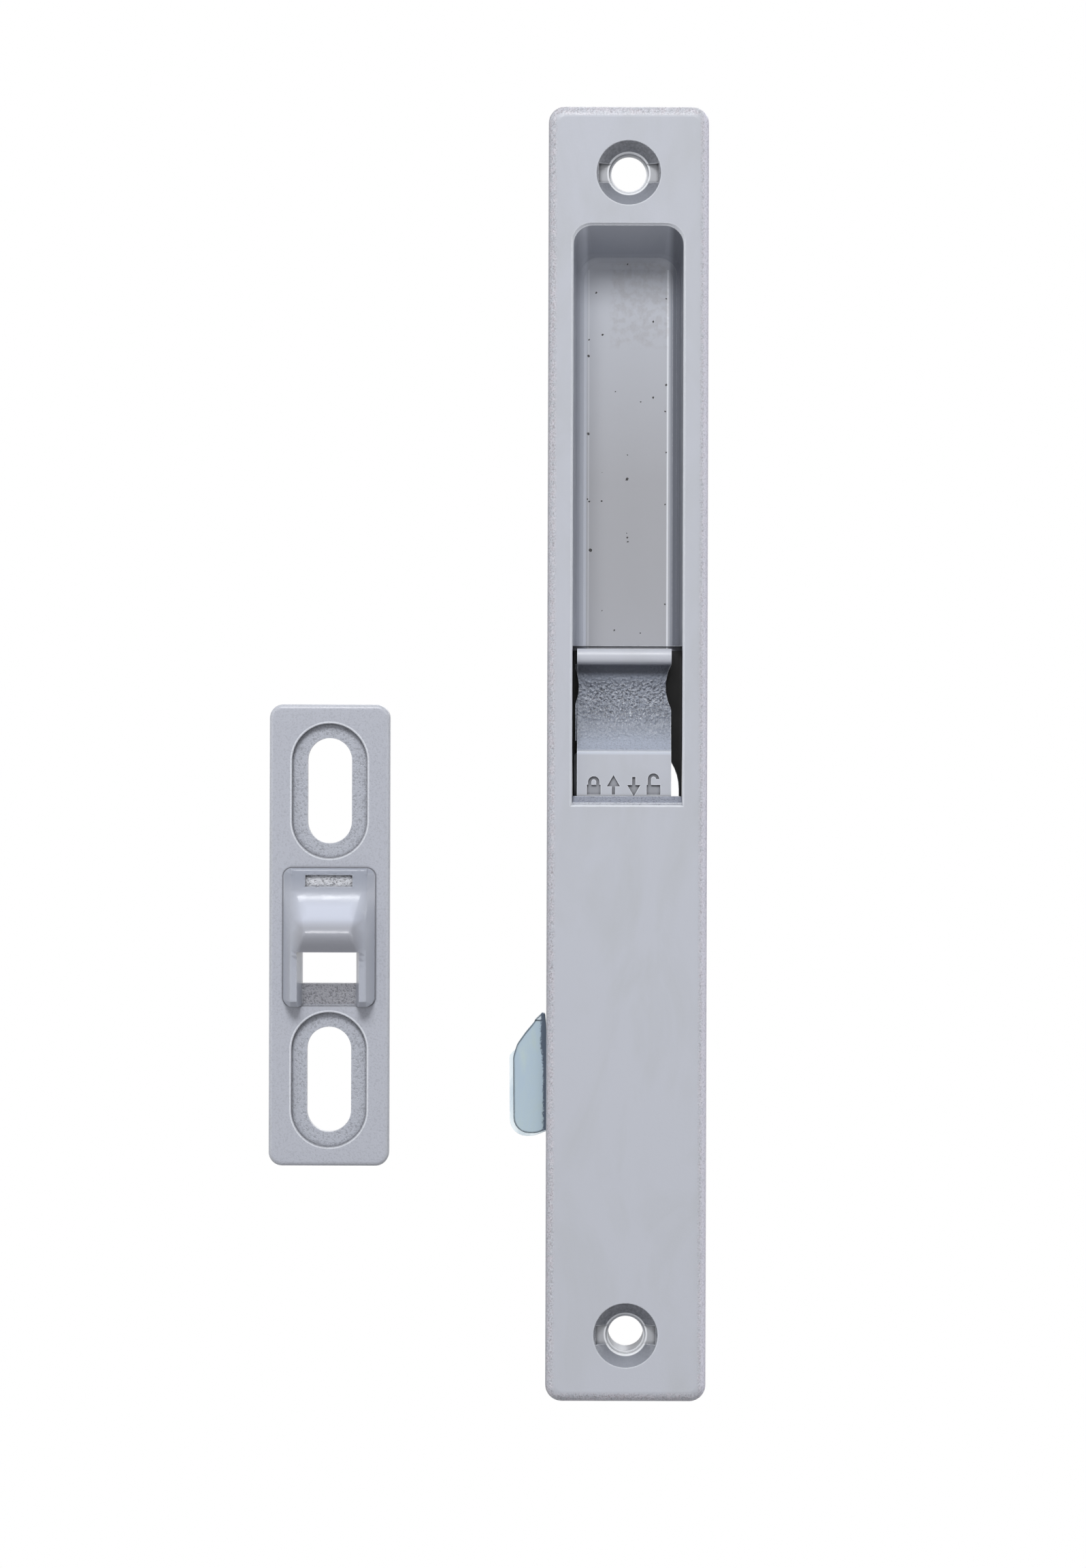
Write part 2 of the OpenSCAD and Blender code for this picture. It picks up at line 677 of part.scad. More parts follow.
// Bowed leaf that presses on the back cover, so the slide stays where it is put
module friction_spring() {
    foot_top = rivet_z + slide_rivet_d / 2 + 1.2;
    color(spring_steel) difference() {
        across(spring_x - spring_w / 2, spring_x + spring_w / 2) {
            translate([bar_back_y, spring_foot_z]) square([spring_t, foot_top - spring_foot_z]);
            intersection() {
                difference() {
                    translate([bow_y, bow_z]) circle(bow_r + spring_t / 2);
                    translate([bow_y, bow_z]) circle(bow_r - spring_t / 2);
                }
                union() {
                    translate([bar_back_y, bow_z]) square([2 * bow_r, 2 * bow_r]);
                    translate([bar_back_y + pass_gap, bow_z - 2 * bow_r]) square([2 * bow_r, 2 * bow_r]);
                }
            }
        }
        rod(spring_x, rivet_z, bar_back_y - over, bar_back_y + spring_t + over, slide_rivet_d + 2 * rivet_fit);
    }
}

// Beak and arm of the hook seen from the front; step pushes their left and lower edges out
module hook_outline(step) {
    polygon(rounded([
        [beak_right - 0.7, pivot_z + beak_up, 0.35], [beak_right, throat_z, 2.2],
        [pivot_x - hub_r - 0.4, throat_z, 1.2], [pivot_x - 2, pivot_z + 2.5, 0],
        [pivot_x, pivot_z - 0.8 * hub_r, 0], [hook_heel_x - 0.8 * step, hook_foot - step, 2.5],
        [hook_left + 0.1 - step, hook_foot - step, 2.3 + step / 3],
        [hook_left - step, shoulder_z, step > 0 ? 0.5 : 3],
        for (p = beak_steps) [hook_left + p.x * beak_w, shoulder_z + p.y * beak_h - step, p[2]]
    ]));
}

module hook_plate(y0, y1, step) {
    difference() {
        union() {
            layer(y0, y1) hook_outline(step);
            rod(pivot_x, pivot_z, y0, y1, 2 * hub_r);
            rod(crank_x, crank_z, y0, y1, 2 * crank_lobe_r);
        }
        rod(pivot_x, pivot_z, y0 - over, y1 + over, pivot_d + 2 * turn_fit);
        rod(crank_x, crank_z, y0 - over, y1 + over, crank_d + 2 * rivet_fit);
        for (p = hook_rivets_at) rod(p.x, p.y, y0 - over, y1 + over, hook_rivet_d + 2 * rivet_fit);
    }
}

module hook_front_plate() {
    color(zinc_blue) hook_plate(hook_y, hook_y + hook_t, 0);
}

module hook_rear_plate() {
    color(zinc_blue) hook_plate(rear_plate_y, hook_back_y, rear_step);
}

module hook_rivets() {
    color(plain_steel) for (p = hook_rivets_at) rod(p.x, p.y, hook_y, hook_back_y, hook_rivet_d);
}

// Pin that the slide bar's notch drives
module crank_pin() {
    color(plain_steel) rod(crank_x, crank_z, crank_front_y, hook_back_y, crank_d);
}

// Pin on which the hook turns, riveted over behind the cover
module pivot_pin() {
    color(plain_steel) {
        rod(pivot_x, pivot_z, wall_y + 0.3 + rivet_fit, case_back_y + skin, pivot_d);
        round_y(pivot_x, pivot_z, case_back_y, case_back_y + pin_head_t,
            pin_head_d / 2, pin_head_d / 2 - 0.6);
    }
}

module ring(y0, y1, d) {
    difference() {
        rod(pivot_x, pivot_z, y0, y1, d);
        rod(pivot_x, pivot_z, y0 - over, y1 + over, pivot_d + 2 * rivet_fit);
    }
}

module pivot_bush() {
    color(plain_steel) ring(rail_y, hook_y - hook_play, bush_d);
}

module pivot_washer() {
    color(plain_steel) ring(washer_y, cover_y, washer_d);
}

// Skin through a stack of rings that have the same number of points
module loft(rings) {
    n = len(rings[0]);
    last = (len(rings) - 1) * n;
    polyhedron(
        points = [for (ring = rings) each ring],
        faces = [
            [for (k = [0 : n - 1]) k],
            for (i = [0 : n : last - 1], k = [0 : n - 1]) [i + k, i + n + k, i + (k + 1) % n],
            for (i = [0 : n : last - 1], k = [0 : n - 1]) [i + (k + 1) % n, i + n + k, i + n + (k + 1) % n],
            [for (k = [n - 1 : -1 : 0]) last + k]
        ]);
}

function share(from, to, z) = max(0, min(1, (from - z) / (from - to)));
function ease(u) = u * u * (3 - 2 * u);

// Rounding of the hood's top and bottom edges
function edge_fall(from_edge, r) = from_edge >= r ? 0 : r - sqrt(r * r - pow(r - max(from_edge, 0), 2));

// How far ramp, crest and lip stand out at height z, and half their width there
function crest_out(z) =
    hood_flat_out + (hood_out - hood_flat_out) * ease(share(ramp_top, crest_z, z))
    - lip_drop * pow(share(crest_z, mouth_top, z), 1.5)
    - (hood_out - lip_drop - cheek_out) * share(mouth_top, mouth_top - lip_run, z)
    - edge_fall(hood_top - z, top_edge_r) - edge_fall(z - hood_bottom, foot_edge_r);
function crest_half(z) =
    crest_w / 2 + (hood_w / 2 - cheek_in - rib_w - crest_w / 2) * pow(1 - share(ramp_top, crest_z, z), 1.6)
    + lip_flare * share(crest_z, mouth_top, z);

// How far the cheeks' ridges stand out at height z
function rib_out(z) =
    hood_flat_out - rib_step + (cheek_out - hood_flat_out) * ease(share(ramp_top, mouth_top, z))
    - edge_fall(hood_top - z, top_edge_r) - edge_fall(z - hood_bottom, foot_edge_r);

// Hood seen from below at height z: foot, leaning cheeks, crest
function hood_ring(z) =
    let (foot = hood_w / 2 + 0.15, rib = hood_w / 2 - cheek_in, crest = crest_half(z))
    let (rib_y = keeper_face_y - rib_out(z))
    let (crest_y = keeper_face_y - max(crest_out(z), rib_out(z) + rib_step / 2))
    [for (p = rounded([
        [-foot, keeper_face_y + over, 0], [-foot, keeper_face_y, 0], [-rib, rib_y, rib_r],
        [-crest, crest_y, crest_edge_r], [crest, crest_y, crest_edge_r],
        [rib, rib_y, rib_r], [foot, keeper_face_y, 0], [foot, keeper_face_y + over, 0]
    ], 3)) [p.x, p.y, z]];

module hood_foot() {
    translate([0, hood_top - hood_h / 2]) {
        square([hood_w, hood_h - 2 * hood_r], center = true);
        square([hood_w - 2 * hood_r, hood_h], center = true);
        for (x = [-1, 1], z = [-1, 1])
            translate([x * (hood_w / 2 - hood_r), z * (hood_h / 2 - hood_r)]) circle(hood_r);
    }
}

// Hollow behind the hood, open at the back, where the beak rises
module hood_hollow() {
    hollow_top = crest_z + 4.2;
    across(-mouth_w / 2, mouth_w / 2) polygon(rounded([
        [over, mouth_bottom, 0], [keeper_face_y - hood_out, mouth_bottom, 0],
        [keeper_face_y - hood_out, mouth_top, 0], [keeper_face_y - cheek_out + hood_wall - 0.6, mouth_top, 0.4],
        [keeper_face_y - hood_out + hood_wall + 0.6, crest_z - 0.2, 0.8],
        [keeper_face_y + 0.4, hollow_top, 0.5], [over, hollow_top, 0]
    ]));
}

// Way in to the mouth between the cheeks, wider at the front
module mouth_way() {
    front_y = keeper_face_y - hood_out - over;
    translate([0, 0, hood_bottom]) linear_extrude(ledge_h + mouth_h) polygon([
        [-mouth_w / 2, keeper_face_y + 0.3], [mouth_w / 2, keeper_face_y + 0.3],
        [mouth_w / 2 + mouth_draft, keeper_face_y - cheek_out], [mouth_w / 2 + mouth_draft, front_y],
        [-mouth_w / 2 - mouth_draft, front_y], [-mouth_w / 2 - mouth_draft, keeper_face_y - cheek_out]
    ]);
}

// The keeper's shape, round its own centre
module keeper_casting() {
    pocket_half = mouth_w / 2 - mouth_draft;
    pocket_top = hood_top - 1;
    rings = round(hood_h / hood_step);
    ring_step = (hood_h + 2 * hood_lap) / rings;
    difference() {
        union() {
            rounded_plate(keeper_w, keeper_h, keeper_t, keeper_corner_r, keeper_edge_r);
            intersection() {
                loft([for (i = [0 : rings]) hood_ring(hood_bottom - hood_lap + i * ring_step)]);
                layer(keeper_face_y - hood_out - over, keeper_face_y + over) hood_foot();
            }
        }
        for (end = [-1, 1]) translate([0, 0, end * slot_spacing / 2]) {
            layer(-keeper_t - over, over) stadium(slot_w, slot_l);
            layer(-keeper_t - over, slot_step_t - keeper_t)
                stadium(slot_w + 2 * slot_step, slot_l + 2 * slot_step - 0.2);
        }
        hood_hollow();
        mouth_way();
        box(-pocket_half, pocket_half, keeper_face_y - hood_flat_out - over,
            keeper_face_y - hood_flat_out + pocket_depth, pocket_top - pocket_h, pocket_top);
    }
}

// Strike that is screwed to the jamb; the beak rises behind its hood
module keeper() {
    color(cast_paint) translate([-keeper_left, 0, keeper_z]) keeper_casting();
}

lock_body();
back_cover();
cover_screws();
thumb_slide();
slide_bar();
slide_rivets();
friction_spring();
hook_front_plate();
hook_rear_plate();
hook_rivets();
crank_pin();
pivot_pin();
pivot_bush();
pivot_washer();
keeper();
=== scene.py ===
# %% [markdown]
# # A sliding patio door lock and its keeper
# The lock is a die casting painted silver: a long face plate with a pull recess, a thumb slide in the
# recess, and a zinc-plated hook that swings out of the left side. The keeper stands beside it.
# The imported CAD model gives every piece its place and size. This lesson gives them their finish,
# and remodels the two castings whose rough skin shows from close by.

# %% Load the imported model
import json
import math

import bmesh
import bpy
from mathutils import Matrix, Vector, noise


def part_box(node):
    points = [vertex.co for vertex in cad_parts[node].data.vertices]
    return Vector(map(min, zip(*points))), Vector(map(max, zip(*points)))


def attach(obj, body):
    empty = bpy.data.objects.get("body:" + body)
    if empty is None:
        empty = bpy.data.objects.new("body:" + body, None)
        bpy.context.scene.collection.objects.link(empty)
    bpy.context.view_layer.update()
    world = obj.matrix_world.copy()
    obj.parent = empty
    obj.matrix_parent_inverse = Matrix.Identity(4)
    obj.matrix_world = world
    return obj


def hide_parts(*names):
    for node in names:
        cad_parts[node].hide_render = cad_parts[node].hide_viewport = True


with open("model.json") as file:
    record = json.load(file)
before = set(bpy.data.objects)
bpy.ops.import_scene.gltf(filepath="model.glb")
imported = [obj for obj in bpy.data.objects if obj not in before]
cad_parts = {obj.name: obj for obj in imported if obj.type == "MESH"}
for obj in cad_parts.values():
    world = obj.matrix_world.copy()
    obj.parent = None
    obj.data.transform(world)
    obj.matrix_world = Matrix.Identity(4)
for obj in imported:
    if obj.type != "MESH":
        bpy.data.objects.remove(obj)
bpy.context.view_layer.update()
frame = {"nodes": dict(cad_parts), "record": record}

# %% [markdown]
# ## Units and places
# Blender works in metres here, and the lock is only 190 mm long, so every size is written in
# millimetres and multiplied by one named value. X runs to the right, Y into the door, Z up.
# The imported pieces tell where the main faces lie.

# %% Units and main places
MM = 0.001
body_low, body_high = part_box("lock_body")
slide_low, slide_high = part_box("thumb_slide")
keeper_low, keeper_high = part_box("keeper")
face_y = body_low.y
print("face plate from", body_low, "to", body_high)

# %% [markdown]
# ## The camera
# In the photograph the plate's sides stay parallel, so the camera looks level and square at it, and
# the framing comes from a small shift. The upper screw hole is seen almost straight and the lower one
# from well above, which no single camera gives, so it stands a little over the middle of the plate,
# 0.8 m away. The picture is 230.5 mm high at the face plate, and its long side sets the lens.

# %% Camera at the photograph's angle
PICTURE_HEIGHT = 230.5 * MM
CAMERA_DISTANCE = 800 * MM
CAMERA_ROLL = math.radians(0.17)
SENSOR = 36.0
picture_centre = Vector((-12.4 * MM, face_y, -4.4 * MM))
eye_level = Vector((0, face_y, 12 * MM))


def add_camera():
    data = bpy.data.cameras.new("photo_camera")
    data.sensor_width = SENSOR
    data.lens = SENSOR * CAMERA_DISTANCE / PICTURE_HEIGHT
    data.clip_start = 0.01
    data.clip_end = 20
    data.shift_x = (picture_centre.x - eye_level.x) / PICTURE_HEIGHT
    data.shift_y = (picture_centre.z - eye_level.z) / PICTURE_HEIGHT
    camera = bpy.data.objects.new("photo_camera", data)
    camera.location = eye_level + Vector((0, -CAMERA_DISTANCE, 0))
    camera.rotation_euler = (math.radians(90), -CAMERA_ROLL, 0)
    bpy.context.scene.collection.objects.link(camera)
    bpy.context.scene.camera = camera
    return camera


camera = add_camera()
print("camera at", [round(v, 3) for v in camera.location], "lens", round(camera.data.lens, 1))

# %% [markdown]
# ## Node helpers
# A material is a small graph. These helpers make a node, set its inputs and make a group whose
# sockets have plain names, so that each material below reads like a recipe.

# %% Helpers for node graphs
def empty_tree(owner):
    """The node tree of a new material or world, cleared."""
    owner.use_nodes = True
    owner.node_tree.nodes.clear()
    return owner.node_tree


def add_node(tree, kind, **settings):
    node = tree.nodes.new(kind)
    for name, value in settings.items():
        setattr(node, name, value)
    return node


def feed(tree, socket, value):
    """Gives a socket a number, a vector, or another socket's output."""
    if isinstance(value, bpy.types.NodeSocket):
        tree.links.new(value, socket)
    else:
        socket.default_value = value


def set_inputs(tree, node, **values):
    for name, value in values.items():
        feed(tree, node.inputs[name.replace("_", " ")], value)
    return node


def new_group(name, inputs, outputs):
    """A node group; inputs is {name: (socket type, default)} and outputs is {name: socket type}."""
    group = bpy.data.node_groups.new(name, "ShaderNodeTree")
    for label, (kind, default) in inputs.items():
        socket = group.interface.new_socket(name=label, in_out="INPUT", socket_type=kind)
        socket.default_value = default
    for label, kind in outputs.items():
        group.interface.new_socket(name=label, in_out="OUTPUT", socket_type=kind)
    start = group.nodes.new("NodeGroupInput")
    end = group.nodes.new("NodeGroupOutput")
    return group, start.outputs, end.inputs


def use_group(tree, group, **values):
    node = tree.nodes.new("ShaderNodeGroup")
    node.node_tree = group
    return set_inputs(tree, node, **values).outputs


# %% [markdown]
# ## Sums, colours and noise
# Masks are numbers from 0 to 1, so a finish is mostly arithmetic: a mask is a product of others, and
# a colour is turned into the next one as far as a mask allows. Noise reads the piece's own place in
# millimetres, so that a pattern keeps its size and rides with the piece.

# %% Helpers for sums, colours and noise
# The Mix node has sockets of each kind of data under the same names; these are the colour ones.
MIX_COLOUR_A = 6
MIX_COLOUR_B = 7
MIX_COLOUR_RESULT = 2


def maths(tree, operation, a, b=0.0, clamp=False):
    node = add_node(tree, "ShaderNodeMath", operation=operation, use_clamp=clamp)
    feed(tree, node.inputs[0], a)
    feed(tree, node.inputs[1], b)
    return node.outputs["Value"]


def vector_maths(tree, operation, a, b=(0, 0, 0), output="Vector"):
    node = add_node(tree, "ShaderNodeVectorMath", operation=operation)
    feed(tree, node.inputs[0], a)
    feed(tree, node.inputs[1], b)
    return node.outputs[output]


def split_axes(tree, vector):
    node = add_node(tree, "ShaderNodeSeparateXYZ")
    feed(tree, node.inputs["Vector"], vector)
    return node.outputs


def remap(tree, value, low, high, to_low=0.0, to_high=1.0):
    node = add_node(tree, "ShaderNodeMapRange", clamp=True)
    set_inputs(tree, node, Value=value, From_Min=low, From_Max=high, To_Min=to_low, To_Max=to_high)
    return node.outputs["Result"]


def inverse(tree, mask):
    return maths(tree, "SUBTRACT", 1.0, mask)


def masked(tree, *masks):
    """The product of several masks."""
    result = masks[0]
    for mask in masks[1:]:
        result = maths(tree, "MULTIPLY", result, mask)
    return result


def tint(tree, colour, wanted, *masks):
    """The colour turned into the wanted one, as far as all the masks allow."""
    node = add_node(tree, "ShaderNodeMix", data_type="RGBA")
    feed(tree, node.inputs["Factor"], masked(tree, *masks))
    for index, value in ((MIX_COLOUR_A, colour), (MIX_COLOUR_B, wanted)):
        feed(tree, node.inputs[index], (*value, 1.0) if isinstance(value, tuple) else value)
    return node.outputs[MIX_COLOUR_RESULT]


def place_in_mm(tree, stretch=(1, 1, 1)):
    """Where a point lies on the piece, in millimetres."""
    place = add_node(tree, "ShaderNodeTexCoord")
    return vector_maths(tree, "MULTIPLY", place.outputs["Object"], tuple(s / MM for s in stretch))


def noise_field(tree, scale, detail=3.0, roughness=0.55, stretch=(1, 1, 1), distortion=0.0):
    """Soft noise over the piece; scale is in blotches per millimetre."""
    field = add_node(tree, "ShaderNodeTexNoise")
    set_inputs(tree, field, Vector=place_in_mm(tree, stretch), Scale=scale, Detail=detail,
               Roughness=roughness, Distortion=distortion)
    return field.outputs["Fac"]


def srgb(red, green, blue):
    """A colour as a picture shows it, 0 to 255, turned into the linear light that shaders use."""
    def linear(value):
        share = value / 255
        return share / 12.92 if share <= 0.04045 else ((share + 0.055) / 1.055) ** 2.4
    return linear(red), linear(green), linear(blue)


print("a middle grey of 128 is", round(srgb(128, 128, 128)[0], 3), "in linear light")

# %% [markdown]
# ## Masks by place
# Much of a casting's finish depends on where you look: a drilled hole is bare metal, the inside of
# the case is greasy and dark, a ledge is left rough. A painted picture could say where, but it needs
# an unwrapped mesh. A mask worked out from the place needs none and stays sharp from close by, so
# one group gives it for a box and another for a disc, in millimetres of the piece.

# %% Groups: inside a box, inside a disc
ONTO_XZ = (1, 0, 1)


def away_from(tree, centre):
    """How far a point lies from a centre along each axis, in millimetres."""
    return vector_maths(tree, "ABSOLUTE", vector_maths(tree, "SUBTRACT", place_in_mm(tree), centre))


def make_box_group():
    group, given, result = new_group(
        "inside_box",
        {"Centre": ("NodeSocketVector", (0, 0, 0)), "Half": ("NodeSocketVector", (1, 1, 1)),
         "Soft": ("NodeSocketFloat", 0.2)},
        {"Mask": "NodeSocketFloat"})
    inside = split_axes(group, vector_maths(group, "SUBTRACT", given["Half"],
                                            away_from(group, given["Centre"])))
    nearest = maths(group, "MINIMUM", inside["X"], inside["Y"])
    nearest = maths(group, "MINIMUM", nearest, inside["Z"])
    feed(group, result["Mask"], maths(group, "DIVIDE", nearest, given["Soft"], clamp=True))
    return group


def make_disc_group():
    group, given, result = new_group(
        "inside_disc",
        {"Centre": ("NodeSocketVector", (0, 0, 0)), "Radius": ("NodeSocketFloat", 5.0),
         "Soft": ("NodeSocketFloat", 0.1)},
        {"Mask": "NodeSocketFloat"})
    flat = vector_maths(group, "MULTIPLY", away_from(group, given["Centre"]), ONTO_XZ)
    inside = maths(group, "SUBTRACT", given["Radius"], vector_maths(group, "LENGTH", flat, output="Value"))
    feed(group, result["Mask"], maths(group, "DIVIDE", inside, given["Soft"], clamp=True))
    return group


box_group = make_box_group()
disc_group = make_disc_group()


def box_mask(tree, low, high, soft=0.2):
    """Mask of the box between two corners, in millimetres."""
    centre = tuple((a + b) / 2 for a, b in zip(low, high))
    half = tuple((b - a) / 2 for a, b in zip(low, high))
    return use_group(tree, box_group, Centre=centre, Half=half, Soft=soft)["Mask"]


def disc_mask(tree, x, z, radius, soft=0.1):
    return use_group(tree, disc_group, Centre=(x, 0, z), Radius=radius, Soft=soft)["Mask"]


print("made groups", box_group.name, disc_group.name)

# %% [markdown]
# ## Masks by direction, outline and height
# A finish also depends on which way a face looks, so another group compares its normal with a
# direction. A thin line round a rounded rectangle marks the step of a slot or the foot of the hood:
# measured from the straight part of the sides, the line keeps one distance, the corner's radius.
# A gradient along one axis does the rest.

# %% Groups: facing and rounded outline
FRONT = (0, -1, 0)
UP = (0, 0, 1)


def make_facing_group():
    group, given, result = new_group(
        "facing",
        {"Direction": ("NodeSocketVector", FRONT), "From": ("NodeSocketFloat", 0.9),
         "Full": ("NodeSocketFloat", 0.98)},
        {"Mask": "NodeSocketFloat"})
    place = add_node(group, "ShaderNodeTexCoord")
    along = vector_maths(group, "DOT_PRODUCT", place.outputs["Normal"], given["Direction"], "Value")
    feed(group, result["Mask"], remap(group, along, given["From"], given["Full"]))
    return group


def make_outline_group():
    group, given, result = new_group(
        "rounded_outline",
        {"Centre": ("NodeSocketVector", (0, 0, 0)), "Half": ("NodeSocketVector", (1, 1, 1)),
         "Corner": ("NodeSocketFloat", 1.0), "Width": ("NodeSocketFloat", 0.15)},
        {"Mask": "NodeSocketFloat"})
    away = away_from(group, given["Centre"])
    corner = add_node(group, "ShaderNodeCombineXYZ")
    for axis in "XYZ":
        feed(group, corner.inputs[axis], given["Corner"])
    straight = vector_maths(group, "SUBTRACT", given["Half"], corner.outputs["Vector"])
    past = vector_maths(group, "MAXIMUM", vector_maths(group, "SUBTRACT", away, straight), (0, 0, 0))
    flat = vector_maths(group, "MULTIPLY", past, ONTO_XZ)
    reach = vector_maths(group, "LENGTH", flat, output="Value")
    off = maths(group, "ABSOLUTE", maths(group, "SUBTRACT", reach, given["Corner"]))
    half_width = maths(group, "MULTIPLY", given["Width"], 0.5)
    feed(group, result["Mask"], remap(group, off, half_width, given["Width"], 1.0, 0.0))
    return group


facing_group = make_facing_group()
outline_group = make_outline_group()


def facing_mask(tree, direction, start, full):
    return use_group(tree, facing_group, Direction=direction, From=start, Full=full)["Mask"]


def outline_mask(tree, low, high, corner, width):
    """Mask of a thin line round a rounded rectangle in the XZ plane, in millimetres."""
    centre = ((low[0] + high[0]) / 2, 0, (low[1] + high[1]) / 2)
    half = ((high[0] - low[0]) / 2, 0, (high[1] - low[1]) / 2)
    return use_group(tree, outline_group, Centre=centre, Half=half, Corner=corner, Width=width)["Mask"]


def gradient(tree, axis, start, full):
    """Mask that rises along X, Y or Z between two places, in millimetres."""
    return remap(tree, split_axes(tree, place_in_mm(tree))[axis], start, full)


print("made groups", facing_group.name, outline_group.name)

# %% [markdown]
# ## Cast skin
# Paint over a casting has a fine orange peel, and where the mould was worn the skin is rough. One
# group turns these two noises into a normal over softened edges, and tells where the pits are. It
# adds only the finest grain: where the grit is deep enough to see, the mesh itself is displaced.

# %% Group: cast skin
PIT_NOISE = (0.36, 0.5)


def make_skin_group():
    group, given, result = new_group(
        "cast_skin",
        {"Grain": ("NodeSocketFloat", 2.2), "Grain depth": ("NodeSocketFloat", 0.012),
         "Rough": ("NodeSocketFloat", 3.5), "Rough depth": ("NodeSocketFloat", 0.0),
         "Edge radius": ("NodeSocketFloat", 0.12)},
        {"Normal": "NodeSocketVector", "Pits": "NodeSocketFloat"})
    soft_edge = add_node(group, "ShaderNodeBevel", samples=4)
    feed(group, soft_edge.inputs["Radius"], maths(group, "MULTIPLY", given["Edge radius"], MM))
    rough_field = noise_field(group, given["Rough"], detail=2.0, roughness=0.7)
    rough = add_node(group, "ShaderNodeBump")
    set_inputs(group, rough, Strength=1.0, Height=rough_field, Normal=soft_edge.outputs["Normal"],
               Distance=maths(group, "MULTIPLY", given["Rough depth"], MM))
    grain = add_node(group, "ShaderNodeBump")
    set_inputs(group, grain, Strength=1.0, Height=noise_field(group, given["Grain"]),
               Normal=rough.outputs["Normal"],
               Distance=maths(group, "MULTIPLY", given["Grain depth"], MM))
    feed(group, result["Normal"], grain.outputs["Normal"])
    feed(group, result["Pits"], remap(group, rough_field, *PIT_NOISE, 1.0, 0.0))
    return group


skin_group = make_skin_group()
print("made group", skin_group.name)

# %% [markdown]
# ## Stains and specks
# Handling and water leave soft stains, a little longer than wide, so one group gives a mask of
# blotches. Pinholes and dust show as specks. A noise cut off at a level gives blots of every size, so
# another group scatters one dot in each cell of a pattern and keeps only a share of the cells.

# %% Groups: soft stains and scattered specks
STAIN_NOISE = (0.42, 0.7)
STAIN_STRETCH = (1.0, 1.0, 0.45)
SPECK_RAGGED = 0.35
SPECK_SIZES = (0.4, 1.2)


def make_stain_group():
    group, given, result = new_group(
        "soft_stains",
        {"Scale": ("NodeSocketFloat", 0.09), "Amount": ("NodeSocketFloat", 0.5)},
        {"Mask": "NodeSocketFloat"})
    wide = noise_field(group, given["Scale"], detail=4.0, stretch=STAIN_STRETCH, distortion=1.2)
    patch = remap(group, wide, *STAIN_NOISE)
    feed(group, result["Mask"], maths(group, "MULTIPLY", patch, given["Amount"]))
    return group


def make_speck_group():
    group, given, result = new_group(
        "scattered_specks",
        {"Pitch": ("NodeSocketFloat", 4.0), "Size": ("NodeSocketFloat", 0.15),
         "Share": ("NodeSocketFloat", 0.3)},
        {"Mask": "NodeSocketFloat"})
    place = split_axes(group, place_in_mm(group))
    ragged = maths(group, "MULTIPLY", noise_field(group, 2.5, detail=2.0), SPECK_RAGGED)
    flat = add_node(group, "ShaderNodeCombineXYZ")
    feed(group, flat.inputs["X"], maths(group, "ADD", place["X"], ragged))
    feed(group, flat.inputs["Y"], maths(group, "ADD", place["Z"], ragged))
    cells = add_node(group, "ShaderNodeTexVoronoi", voronoi_dimensions="2D")
    set_inputs(group, cells, Vector=flat.outputs["Vector"],
               Scale=maths(group, "DIVIDE", 1.0, given["Pitch"]))
    chance = add_node(group, "ShaderNodeSeparateColor")
    feed(group, chance.inputs["Color"], cells.outputs["Color"])
    radius = maths(group, "MULTIPLY", maths(group, "DIVIDE", given["Size"], given["Pitch"]),
                   remap(group, chance.outputs["Green"], 0.0, 1.0, *SPECK_SIZES))
    near = maths(group, "LESS_THAN", cells.outputs["Distance"], radius)
    kept = maths(group, "LESS_THAN", chance.outputs["Red"], given["Share"])
    feed(group, result["Mask"], maths(group, "MULTIPLY", near, kept))
    return group


stain_group = make_stain_group()
speck_group = make_speck_group()
print("made groups", stain_group.name, speck_group.name)

# %% [markdown]
# ## Painted edge highlights and crease shade
# Edges are painted bright as a highlight and creases dark as shade. Where a rounded normal differs from
# the true one there is an edge, and where little sky is seen close by there is a crease. A noise breaks up
# the painted highlight, so that it is uneven along the edges.

# %% Group: edges and creases
EDGE_TURN = (0.93, 0.995)
EDGE_SKY = (0.75, 0.97)
EDGE_NOISE = (0.3, 0.6)
EDGE_LEAST = 0.35
CREASE_SKY = (0.45, 0.9)


def make_edge_and_crease_group():
    group, given, result = new_group(
        "edges_and_creases",
        {"Edge radius": ("NodeSocketFloat", 0.25), "Crease reach": ("NodeSocketFloat", 0.5)},
        {"Edge": "NodeSocketFloat", "Crease": "NodeSocketFloat"})
    rounded = add_node(group, "ShaderNodeBevel", samples=6)
    feed(group, rounded.inputs["Radius"], maths(group, "MULTIPLY", given["Edge radius"], MM))
    straight = add_node(group, "ShaderNodeNewGeometry")
    same = vector_maths(group, "DOT_PRODUCT", rounded.outputs["Normal"], straight.outputs["Normal"],
                        "Value")
    turned = remap(group, same, *EDGE_TURN, 1.0, 0.0)
    shade = add_node(group, "ShaderNodeAmbientOcclusion", samples=4)
    feed(group, shade.inputs["Distance"], maths(group, "MULTIPLY", given["Crease reach"], MM))
    open_sky = remap(group, shade.outputs["AO"], *EDGE_SKY)
    uneven = remap(group, noise_field(group, 1.4, detail=4.0), *EDGE_NOISE, EDGE_LEAST, 1.0)
    # The Edge mask places a painted highlight, and the Crease mask places painted shade.
    feed(group, result["Edge"], masked(group, turned, open_sky, uneven))
    feed(group, result["Crease"], remap(group, shade.outputs["AO"], *CREASE_SKY, 1.0, 0.0))
    return group


edge_and_crease_group = make_edge_and_crease_group()
print("made group", edge_and_crease_group.name)
